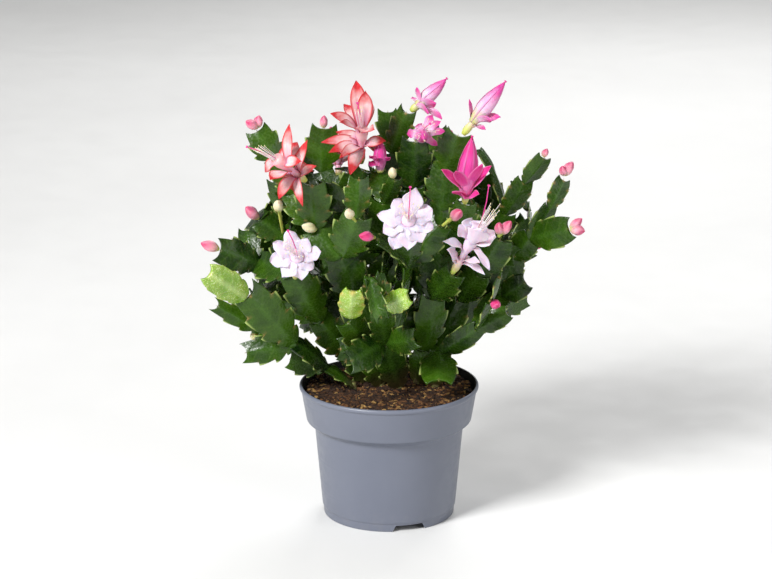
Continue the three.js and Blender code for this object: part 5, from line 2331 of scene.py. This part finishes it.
@dataclass
class BudPiece:
    """Builds one bud, or two on one foot."""

    bud: Bud
    foot_share: float = 0.4
    pair_share: float = 0.7
    longest: float = 3.6
    swell: tuple[tuple[float, float], ...] = (
        (0.0, 0.42),
        (0.1, 0.66),
        (0.25, 0.9),
        (0.45, 1.0),
        (0.65, 0.88),
        (0.82, 0.58),
        (0.94, 0.26),
        (1.0, 0.0),
    )

    def build(self, carrier: SegmentFrame, finish: bpy.types.Material, ball: Shape) -> None:
        """Builds the bud and puts it in the place of its node.

        Args:
            carrier: The segment that carries it.
            finish: Its finish.
            ball: Shape of a ball.
        """
        tips = [seen(lobe.x, lobe.h, lobe.y) for lobe in self.bud.lobes]
        middle = sum(tips, Vector()) / len(tips)
        share = self.pair_share if len(tips) > 1 else self.foot_share
        base = Seat.on(carrier, middle, share * self.bud.lobes[0].radius).base
        gathering = Gathering()
        for lobe, tip in zip(self.bud.lobes, tips):
            self.add_lobe(gathering, Seat.to(base, tip), lobe.radius, ball)
        slot = Slot.CREAM_BUD if self.bud.kind is BudKind.CREAM else Slot.PINK_BUD
        settle(gathering.made(self.bud.name + "_petals", [finish]), slot, self.bud.name)

    def add_lobe(self, gathering: Gathering, seat: Seat, radius: float, ball: Shape) -> None:
        """Adds one closed bud of furled petals.

        Args:
            gathering: Where it goes.
            seat: Where it sits.
            radius: Its greatest radius.
            ball: Shape of a ball.
        """
        x, y, z = ball.points.T
        along = (z + 1) / 2
        around = np.arctan2(y, x)
        stem = max(0.0, 1 - self.longest * radius / seat.reach)
        bulb = np.clip((along - stem) / (1 - stem), 0, 1)
        grown = np.interp(bulb, *np.array(self.swell).T)
        grown = np.where(along < stem, 0.3 + 0.14 * along / max(stem, 0.01), grown)
        grown[along < 1e-6] = 0
        furl = 0.90 + 0.20 * np.abs(np.sin(1.5 * around + 2.6 * bulb)) ** 0.6 * (bulb > 0)
        away = radius * grown * furl
        side = seat.axis.orthogonal().normalized()
        up = seat.axis.cross(side)
        axes = np.array([side, up, seat.axis])
        local = np.stack([away * np.cos(around), away * np.sin(around), along * seat.reach], axis=1)
        places = np.stack([0.5 + 0.5 * np.sin(1.5 * around + 2.6 * bulb), bulb], axis=1)
        green = np.clip(1 - (along - stem) / 0.16, 0, 1)
        tint = np.stack([np.full(len(x), 0.5), green, np.zeros(len(x)), bulb], axis=1)
        gathering.add(ball, np.array(seat.base) + local @ axes, places, tint)


STEM_OF: dict[str, Stem] = {stem.name: stem for stem in STEMS}


def whorled(
    name: str, stem: str, pad: int, slot: Slot, tip: Place, opened: float, shape: PetalStyle, turn: float
) -> Bloom:
    """Makes an evenly spread flower.

    Args:
        name: Its node.
        stem: The stem that carries it.
        pad: The segment there that carries it.
        slot: Its colour.
        tip: Its tip as seen.
        opened: How far it is open, from 0 to 1.
        shape: The form of its petals.
        turn: Where its first petal stands, in radians.

    Returns:
        The flower.
    """
    carrier = STEM_OF[stem].frames[pad]
    end = seen(*tip)
    reach = (end - carrier.end).length
    throat = carrier.end.lerp(end, 0.55)
    place = unseen(throat)
    petals = whorls(place, tip, opened, reach * 0.52, reach * 0.2, turn)
    stamens = unseen(carrier.end.lerp(end, 0.65 + 0.35 * opened))
    style = unseen(carrier.end.lerp(end, 0.7 + 0.36 * opened))
    return Bloom(name, stem, pad, slot, tip, place, petals, stamens, style, shape)


def flat(x: float, h: float, y: float, wide: float) -> Petal:
    """Makes a petal of a wide open flower, flat from the end of the tube on."""
    return Petal(x, h, y, wide, rise=0.92, lift=0.2, cup=0.06)


def blooms() -> tuple[Bloom, ...]:
    """Lists all the flowers: those seen from the front petal by petal, the others spread evenly."""
    pointed, broad = PetalStyle.POINTED, PetalStyle.BROAD
    return (
        Bloom(
            "bloom_red_left",
            "stem_centre_left",
            7,
            Slot.RED,
            (-0.080, 0.254, -0.054),
            (-0.075, 0.245, -0.051),
            (
                Petal(-0.066, 0.269, -0.044, 0.0084, 0.55, 0.3),
                Petal(-0.061, 0.256, -0.030, 0.0144, 0.6, 0.3),
                Petal(-0.058, 0.243, -0.060, 0.0084, 0.75, 0.3),
                Petal(-0.079, 0.230, -0.060, 0.0108, 0.5, 0.5),
                Petal(-0.082, 0.236, -0.040, 0.0084, 0.85, 0.4),
                Petal(-0.054, 0.258, -0.044, 0.0072, 0.25, 0.3),
                Petal(-0.048, 0.240, -0.052, 0.0066, 0.2, 0.3),
                Petal(-0.057, 0.212, -0.053, 0.0066, 0.2, 0.35),
                Petal(-0.073, 0.217, -0.053, 0.0096, 0.25, 0.4),
                Petal(-0.050, 0.236, -0.014, 0.0096, 0.3, 0.3),
                Petal(-0.062, 0.222, -0.016, 0.0096, 0.35, 0.3),
            ),
            (-0.089, 0.254, -0.058),
            (-0.094, 0.253, -0.060),
        ),
        Bloom(
            "bloom_red_top",
            "stem_far_left",
            6,
            Slot.RED,
            (-0.024, 0.282, -0.008),
            (-0.018, 0.266, -0.002),
            (
                Petal(-0.022, 0.299, 0.002, 0.0109, 0.95, 0.5),
                Petal(-0.0155, 0.292, -0.006, 0.0103, 0.95, 0.5),
                Petal(-0.039, 0.276, -0.008, 0.0092, 0.9, 0.45),
                Petal(-0.033, 0.270, -0.022, 0.0069, 0.9, 0.4),
                Petal(-0.0095, 0.265, -0.018, 0.008, 0.9, 0.4),
                Petal(-0.012, 0.284, 0.022, 0.0103, 0.9, 0.4),
                Petal(-0.030, 0.282, 0.020, 0.0092, 0.9, 0.4),
                Petal(-0.045, 0.256, 0.0, 0.0092, 0.5, 0.3),
                Petal(-0.040, 0.249, -0.014, 0.0092, 0.45, 0.3),
                Petal(-0.033, 0.245, -0.026, 0.008, 0.4, 0.35),
                Petal(-0.035, 0.263, 0.014, 0.0069, 0.6, 0.3),
                Petal(-0.026, 0.233, -0.016, 0.0103, 0.4, 0.35),
                Petal(-0.002, 0.257, -0.004, 0.0092, 0.5, 0.3),
                Petal(-0.006, 0.246, 0.026, 0.0092, 0.5, 0.3),
                Petal(-0.028, 0.250, 0.030, 0.0092, 0.5, 0.3),
            ),
            (-0.020, 0.280, -0.006),
            (-0.021, 0.283, -0.008),
        ),
        Bloom(
            "bloom_pink_top",
            "stem_top",
            10,
            Slot.PINK,
            (0.038, 0.300, 0.008),
            (0.027, 0.289, 0.012),
            (
                Petal(0.018, 0.294, 0.010, 0.0075, 0.4, 0.3),
                Petal(0.031, 0.283, 0.004, 0.009, 0.45, 0.3),
                Petal(0.035, 0.272, 0.002, 0.0085, 0.25, 0.35),
                Petal(0.026, 0.276, -0.002, 0.0075, 0.25, 0.3),
                Petal(0.015, 0.287, 0.022, 0.0075, 0.3, 0.3),
                Petal(0.028, 0.284, 0.024, 0.0075, 0.5, 0.3),
            ),
            (0.034, 0.296, 0.009),
            (0.038, 0.300, 0.008),
            pointed,
            tube=0.0038,
            stamen_count=0,
            closed=Closed(0.35, (0.038, 0.3, 0.008), 0.0046),
        ),
        Bloom(
            "bloom_pink_right",
            "stem_centre_right",
            5,
            Slot.PINK,
            (0.077, 0.297, -0.016),
            (0.063, 0.280, -0.015),
            (
                Petal(0.074, 0.2735, -0.018, 0.009, 0.5, 0.45),
                Petal(0.068, 0.271, -0.026, 0.007, 0.5, 0.45),
                Petal(0.053, 0.286, -0.014, 0.0045, 0.45, 0.3),
                Petal(0.064, 0.265, -0.018, 0.0055, 0.35, 0.35),
                Petal(0.066, 0.280, 0.002, 0.0075, 0.5, 0.3),
            ),
            (0.072, 0.291, -0.016),
            (0.077, 0.298, -0.017),
            pointed,
            tube=0.004,
            stamen_count=0,
            closed=Closed(0.45, (0.077, 0.298, -0.016), 0.0051),
        ),
        Bloom(
            "bloom_magenta",
            "stem_centre_right",
            8,
            Slot.MAGENTA,
            (0.055, 0.256, -0.040),
            (0.052, 0.238, -0.038),
            (
                Petal(0.0345, 0.2375, -0.046, 0.010, 0.3, 0.3),
                Petal(0.068, 0.240, -0.040, 0.009, 0.3, 0.35),
                Petal(0.062, 0.241, -0.052, 0.008, 0.35, 0.45),
                Petal(0.044, 0.236, -0.056, 0.009, 0.3, 0.45),
                Petal(0.042, 0.2215, -0.046, 0.008, 0.15, 0.3),
                Petal(0.060, 0.2205, -0.044, 0.008, 0.15, 0.3),
                Petal(0.050, 0.217, -0.050, 0.007, 0.15, 0.3),
                Petal(0.050, 0.236, -0.014, 0.008, 0.5, 0.3),
            ),
            (0.054, 0.252, -0.040),
            (0.055, 0.260, -0.041),
            pointed,
            tube=0.0038,
            stamen_count=0,
            closed=Closed(0.3, (0.055, 0.260, -0.040), 0.0062, 6),
        ),
        Bloom(
            "bloom_pink_small",
            "stem_top",
            7,
            Slot.PINK,
            (0.024, 0.272, -0.028),
            (0.022, 0.264, -0.018),
            (
                Petal(0.019, 0.269, -0.016, 0.0055, 0.9, 0.4),
                Petal(0.029, 0.275, -0.012, 0.0055, 0.9, 0.4),
                Petal(0.034, 0.271, -0.014, 0.006, 0.9, 0.4),
                Petal(0.037, 0.264, -0.016, 0.006, 0.8, 0.4),
                Petal(0.012, 0.262, -0.014, 0.006, 0.7, 0.35),
                Petal(0.032, 0.254, -0.016, 0.0055, 0.6, 0.35),
            ),
            (0.025, 0.266, -0.031),
            (0.027, 0.269, -0.034),
            broad,
            tube=0.0034,
            stamen_count=14,
            stamen_spread=1.1,
            closed=Closed(0.3, (0.0235, 0.2585, -0.031), 0.0046),
        ),
        Bloom(
            "bloom_magenta_small",
            "stem_top",
            11,
            Slot.MAGENTA,
            (-0.006, 0.259, 0.0),
            (-0.006, 0.246, 0.002),
            (
                Petal(-0.013, 0.247, -0.004, 0.006, 0.6, 0.4),
                Petal(-0.014, 0.241, -0.004, 0.006, 0.4, 0.4),
                Petal(-0.009, 0.245, -0.010, 0.005, 0.6, 0.4),
                Petal(0.001, 0.246, -0.001, 0.005, 0.5, 0.4),
            ),
            (-0.006, 0.254, -0.001),
            (-0.006, 0.258, -0.001),
            broad,
            tube=0.003,
            stamen_count=0,
            closed=Closed(0.2, (-0.006, 0.2585, 0.0), 0.0042),
        ),
        Bloom(
            "bloom_white_centre",
            "stem_centre",
            9,
            Slot.WHITE,
            (0.014, 0.199, -0.092),
            (0.013, 0.203, -0.074),
            (
                flat(0.0175, 0.225, -0.072, 0.0120),
                flat(0.0290, 0.210, -0.073, 0.0140),
                flat(0.0295, 0.197, -0.075, 0.0120),
                flat(0.0215, 0.187, -0.077, 0.0120),
                flat(0.0120, 0.182, -0.077, 0.0112),
                flat(0.0025, 0.183, -0.074, 0.0124),
                flat(-0.004, 0.194, -0.074, 0.0112),
                flat(-0.008, 0.206, -0.072, 0.0120),
                flat(0.003, 0.217, -0.070, 0.0120),
            ),
            (0.012, 0.212, -0.086),
            (0.014, 0.225, -0.092),
            broad,
            tube=0.0046,
            stamen_count=22,
            stamen_spread=0.8,
        ),
        Bloom(
            "bloom_white_left",
            "stem_mid_left",
            2,
            Slot.WHITE,
            (-0.064, 0.177, -0.074),
            (-0.061, 0.178, -0.058),
            (
                flat(-0.067, 0.196, -0.056, 0.0120),
                flat(-0.054, 0.190, -0.056, 0.0108),
                flat(-0.045, 0.181, -0.058, 0.0108),
                flat(-0.050, 0.169, -0.059, 0.0112),
                flat(-0.058, 0.161, -0.060, 0.0100),
                flat(-0.071, 0.163, -0.060, 0.0116),
                flat(-0.079, 0.174, -0.058, 0.0120),
                flat(-0.077, 0.187, -0.055, 0.0116),
            ),
            (-0.063, 0.185, -0.072),
            (-0.067, 0.195, -0.076),
            broad,
            tube=0.0044,
            stamen_count=20,
            stamen_spread=0.8,
        ),
        Bloom(
            "bloom_white_right",
            "stem_centre_right",
            9,
            Slot.WHITE,
            (0.062, 0.201, -0.076),
            (0.057, 0.192, -0.069),
            (
                Petal(0.046, 0.199, -0.064, 0.0130, 0.85, 0.5, 0.4),
                Petal(0.055, 0.203, -0.060, 0.0140, 0.90, 0.5, 0.4),
                Petal(0.063, 0.200, -0.066, 0.0130, 0.90, 0.5, 0.4),
                Petal(0.071, 0.191, -0.074, 0.0138, 0.85, 0.5, 0.4),
                Petal(0.061, 0.196, -0.086, 0.0130, 0.85, 0.5, 0.4),
                Petal(0.0355, 0.188, -0.068, 0.0055, 0.60, 0.5),
                Petal(0.0385, 0.182, -0.068, 0.0085, 0.38, 0.3),
                Petal(0.0420, 0.176, -0.058, 0.0060, 0.30, 0.3),
                Petal(0.0665, 0.168, -0.070, 0.0052, 0.75, 0.25),
                Petal(0.0635, 0.165, -0.066, 0.0044, 0.30, 0.4),
                Petal(0.0600, 0.173, -0.074, 0.0060, 0.40, 0.35),
                Petal(0.050, 0.176, -0.030, 0.0080, 0.35, 0.3),
            ),
            (0.071, 0.213, -0.086),
            (0.066, 0.226, -0.088),
            broad,
            tube=0.0046,
            stamen_count=24,
            stamen_spread=0.3,
        ),
        whorled("bloom_red_back", "stem_back_left", 8, Slot.RED, (-0.038, 0.264, 0.074), 1.0, pointed, 0.2),
        whorled("bloom_pink_back", "stem_back", 6, Slot.PINK, (0.042, 0.262, 0.092), 0.8, pointed, 0.7),
        whorled("bloom_white_back", "stem_back_left", 6, Slot.WHITE, (-0.074, 0.160, 0.124), 0.5, broad, 0.4),
        whorled(
            "bloom_magenta_back", "stem_back_right", 3, Slot.MAGENTA, (0.058, 0.212, 0.088), 0.4, pointed, 0.1
        ),
        whorled("bloom_white_side", "stem_back_right", 7, Slot.WHITE, (0.072, 0.158, 0.120), 0.5, broad, 0.9),
    )


# The scene


@dataclass
class Studio:
    """A plain pale floor, soft light from the left, and the camera of the photograph."""

    floor_size: float = 12.0
    floor_colour: Colour = (0.78, 0.78, 0.77)
    sky: float = 0.29
    target: Place = (-0.002, 0.0, 0.1548)
    sensor: float = 36.0
    lens: float = 126.6

    def build(self, palette: Palette) -> None:
        """Builds the floor, the lights and the camera."""
        self.add_floor(palette)
        self.add_light("key", (-1.15, -1.25, 1.35), 0.6, 59.0)
        self.add_light("fill", (1.5, -1.1, 0.8), 1.4, 12.0)
        self.add_light("rim", (0.5, 1.6, 1.3), 1.0, 20.0)
        self.add_world()
        self.add_camera()

    def add_floor(self, palette: Palette) -> None:
        """Adds the floor."""
        alone()
        bpy.ops.mesh.primitive_plane_add(size=self.floor_size)
        floor = bpy.context.object
        floor.name = "floor"
        dim = tuple(0.96 * share for share in self.floor_colour)
        pale = FlecksFinish("floor_pale", self.floor_colour, dim, scale=3.0, roughness=0.7)
        floor.data.materials.append(pale.made(palette))

    def add_light(self, name: str, place: Place, size: float, power: float) -> None:
        """Adds a soft lamp that is turned to the plant.

        Args:
            name: Its name.
            place: Where it stands.
            size: Its width.
            power: Its power in watts.
        """
        lamp = bpy.data.lights.new(name, "AREA")
        lamp.size = size
        lamp.energy = power
        holder = bpy.data.objects.new(name, lamp)
        holder.location = place
        aim = Vector(self.target) - Vector(place)
        holder.rotation_euler = aim.to_track_quat("-Z", "Y").to_euler()
        bpy.context.scene.collection.objects.link(holder)

    def add_world(self) -> None:
        """Adds the even light from all round."""
        world = bpy.data.worlds.new("studio")
        world.use_nodes = True
        background = world.node_tree.nodes["Background"]
        background.inputs["Color"].default_value = (1.0, 1.0, 1.0, 1.0)
        background.inputs["Strength"].default_value = self.sky
        bpy.context.scene.world = world
        bpy.context.scene.view_settings.view_transform = "Standard"

    def add_camera(self) -> None:
        """Adds the camera."""
        lens = bpy.data.cameras.new("camera")
        lens.sensor_width = self.sensor
        lens.lens = self.lens
        lens.clip_end = 50
        camera = bpy.data.objects.new("camera", lens)
        back = Vector((0, -math.cos(VIEW_TILT), math.sin(VIEW_TILT))) * VIEW_DISTANCE
        camera.location = Vector(self.target) + back
        camera.rotation_euler = (math.pi / 2 - VIEW_TILT, 0, 0)
        bpy.context.scene.collection.objects.link(camera)
        bpy.context.scene.camera = camera


PETAL_FINISHES = {
    Slot.RED: PetalFinish(
        "petal_red",
        base=(0.84, 0.34, 0.55),
        middle=(0.88, 0.60, 0.60),
        tip=(0.58, 0.010, 0.016),
        edge=(0.56, 0.006, 0.012),
        line=(0.78, 0.14, 0.17),
        edge_share=0.95,
        edge_from=0.58,
        line_share=0.4,
        turn=0.68,
    ),
    Slot.PINK: PetalFinish(
        "petal_pink",
        base=(0.64, 0.62, 0.24),
        middle=(0.86, 0.56, 0.74),
        tip=(0.70, 0.035, 0.30),
        edge=(0.80, 0.20, 0.52),
        line=(0.74, 0.20, 0.52),
        edge_share=0.5,
        turn=0.46,
    ),
    Slot.MAGENTA: PetalFinish(
        "petal_magenta",
        base=(0.84, 0.32, 0.56),
        middle=(0.80, 0.07, 0.37),
        tip=(0.72, 0.012, 0.23),
        edge=(0.88, 0.30, 0.58),
        line=(0.56, 0.01, 0.18),
        edge_share=0.5,
    ),
    Slot.WHITE: PetalFinish(
        "petal_white",
        base=(0.78, 0.32, 0.52),
        middle=(0.78, 0.62, 0.73),
        tip=(0.76, 0.60, 0.73),
        edge=(0.82, 0.70, 0.79),
        line=(0.68, 0.48, 0.66),
        edge_share=0.5,
        line_share=0.25,
        turn=0.3,
        glow=0.3,
    ),
}

BUD_FINISHES = {
    BudKind.PALE: PetalFinish(
        "bud_pale",
        base=(0.66, 0.44, 0.34),
        middle=(0.76, 0.26, 0.37),
        tip=(0.62, 0.05, 0.17),
        edge=(0.84, 0.52, 0.58),
        line=(0.62, 0.10, 0.22),
    ),
    BudKind.CREAM: PetalFinish(
        "bud_cream",
        base=(0.62, 0.60, 0.20),
        middle=(0.80, 0.74, 0.44),
        tip=(0.82, 0.72, 0.50),
        edge=(0.86, 0.82, 0.62),
        line=(0.66, 0.58, 0.34),
    ),
    BudKind.DEEP: PetalFinish(
        "bud_deep",
        base=(0.60, 0.26, 0.30),
        middle=(0.74, 0.05, 0.24),
        tip=(0.60, 0.01, 0.14),
        edge=(0.82, 0.22, 0.42),
        line=(0.46, 0.01, 0.12),
    ),
}

# The young segments' whitish rib and pale blotches are painted highlight on their glossy faces.
YOUNG_FINISH = SegmentFinish(
    "segment_lime",
    dark=(0.11, 0.26, 0.018),
    mid=(0.31, 0.49, 0.040),
    light=(0.84, 0.90, 0.52),
    rib=(0.66, 0.78, 0.34),
    edge=(0.50, 0.62, 0.14),
    areole=(0.60, 0.42, 0.10),
    glossy=0.14,
    dull=0.32,
    shine=0.7,
    glow=0.12,
    blotch_scale=130.0,
    rib_and_highlight_share=0.3,
    pale_share=1.0,
)
# Near-black inside of the pot: a dark inner layer and, in part, painted shade within the pot.
INSIDE_FINISH = FlecksFinish("pot_inside", (0.012, 0.012, 0.014), (0.022, 0.021, 0.022), 60.0, 0.6)
FILAMENT_FINISH = FlecksFinish("filament", (0.85, 0.70, 0.72), (0.88, 0.80, 0.78), 500.0, 0.4, 0.2)
ANTHER_FINISH = FlecksFinish("anther", (0.80, 0.66, 0.30), (0.86, 0.78, 0.52), 900.0, 0.6)
STYLE_FINISH = FlecksFinish("style", (0.62, 0.02, 0.22), (0.72, 0.05, 0.30), 500.0, 0.35, 0.2)

SEED = 613
SMOOTH_STEMS = ("stem_right", "stem_far_right")
SMOOTHER_TEETH = ((0.2, 0.66), (0.43, 0.98), (0.75, 1.0), (1.05, 0.62))
SMOOTHER_NOTCH = 0.89
CLEAR_ALONG = (0.2, 0.5, 0.8, 1.0)


def points_on(flowers: tuple[Bloom, ...]) -> list[Vector]:
    """Spreads points over the flowers' lengths, from which the inner segments stay clear."""
    points = []
    for bloom in flowers:
        end = STEM_OF[bloom.stem].frames[bloom.pad].end
        points += [end.lerp(seen(*bloom.tip), share) for share in CLEAR_ALONG]
    return points


def inner_growth(flowers: tuple[Bloom, ...]) -> tuple[dict[str, list[SegmentFrame]], ...]:
    """Grows the inner segments that the solids have too, and then the further ones.

    Args:
        flowers: The flowers, which they keep clear of.

    Returns:
        Both kinds, for each stem.
    """
    buds = [seen(lobe.x, lobe.h, lobe.y) for bud in BUDS for lobe in bud.lobes]
    buds += [seen(*young.tip) for young in YOUNG]
    infill = Infill(np.array(points_on(flowers)), np.array(buds), PlainDice(SEED))
    inner = infill.grown(IN_SOLIDS)
    infill.fill_gaps()
    tips = [seen(petal.x, petal.h, petal.y) for bloom in flowers for petal in bloom.petals]
    infill.blooms = np.concatenate([infill.blooms, np.array(tips)])
    return inner, infill.grown(FURTHER)


def build_pot(palette: Palette, dice: np.random.Generator) -> None:
    """Builds the pot and its soil."""
    NurseryPot().build(PotFinish().made(palette), INSIDE_FINISH.made(palette))
    peat = SoilFinish().made(palette)
    root_ball = RootBall()
    root_ball.build(peat, dice)
    root_ball.scatter(peat, dice)


def build_leaves(flowers: tuple[Bloom, ...], palette: Palette, dice: np.random.Generator) -> None:
    """Builds the leafy stems and the young segments.

    Args:
        flowers: The flowers, which the inner segments keep clear of.
        palette: The shared shader groups.
        dice: Source of random numbers.
    """
    leaf, lime = SegmentFinish().made(palette), YOUNG_FINISH.made(palette)
    hair, stalk = tube_shape(3, 1), tube_shape(18, 14)
    segment = SegmentShape()
    smoother = SegmentShape(teeth=SMOOTHER_TEETH, notch_depth=SMOOTHER_NOTCH)
    inner, further = inner_growth(flowers)
    for stem in STEMS:
        leafy = LeafyStem(stem, smoother if stem.name in SMOOTH_STEMS else segment)
        leafy.build(inner[stem.name], leaf, stalk, hair, dice)
        leafy.build_inner(further[stem.name], leaf, hair, dice)
    for young in YOUNG:
        YoungSegment(young).build(STEM_OF[young.stem].frames[young.pad], lime, dice)


def build_flowers(flowers: tuple[Bloom, ...], palette: Palette, dice: np.random.Generator) -> None:
    """Builds the flowers.

    Args:
        flowers: The flowers.
        palette: The shared shader groups.
        dice: Source of random numbers.
    """
    petals = {slot: finish.made(palette) for slot, finish in PETAL_FINISHES.items()}
    others = [finish.made(palette) for finish in (FILAMENT_FINISH, ANTHER_FINISH, STYLE_FINISH)]
    forms = {
        PetalStyle.POINTED: PetalShape(PetalStyle.POINTED),
        PetalStyle.BROAD: PetalShape(PetalStyle.BROAD, ruffle=0.3, frill=0.24, crease=0.02),
    }
    tube, stalk, speck = tube_shape(6, 4), tube_shape(18, 14), ball_shape(6, 4)
    for bloom in flowers:
        carrier = STEM_OF[bloom.stem].frames[bloom.pad]
        flower = Flower(bloom, forms[bloom.shape])
        flower.build(carrier, [petals[bloom.slot], *others], tube, stalk, speck, dice)


def build_buds(palette: Palette) -> None:
    """Builds the buds."""
    finishes = {kind: finish.made(palette) for kind, finish in BUD_FINISHES.items()}
    ball = ball_shape(28, 22)
    for bud in BUDS:
        BudPiece(bud).build(STEM_OF[bud.stem].frames[bud.pad], finishes[bud.kind], ball)


def main() -> None:
    """Builds the plant in order, and then the studio."""
    logging.basicConfig(level=logging.INFO, format="%(message)s")
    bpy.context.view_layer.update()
    palette = Palette()
    dice = np.random.default_rng(SEED)
    flowers = blooms()
    build_pot(palette, dice)
    build_leaves(flowers, palette, dice)
    build_flowers(flowers, palette, dice)
    build_buds(palette)
    Studio().build(palette)


if __name__ == "__main__":
    main()
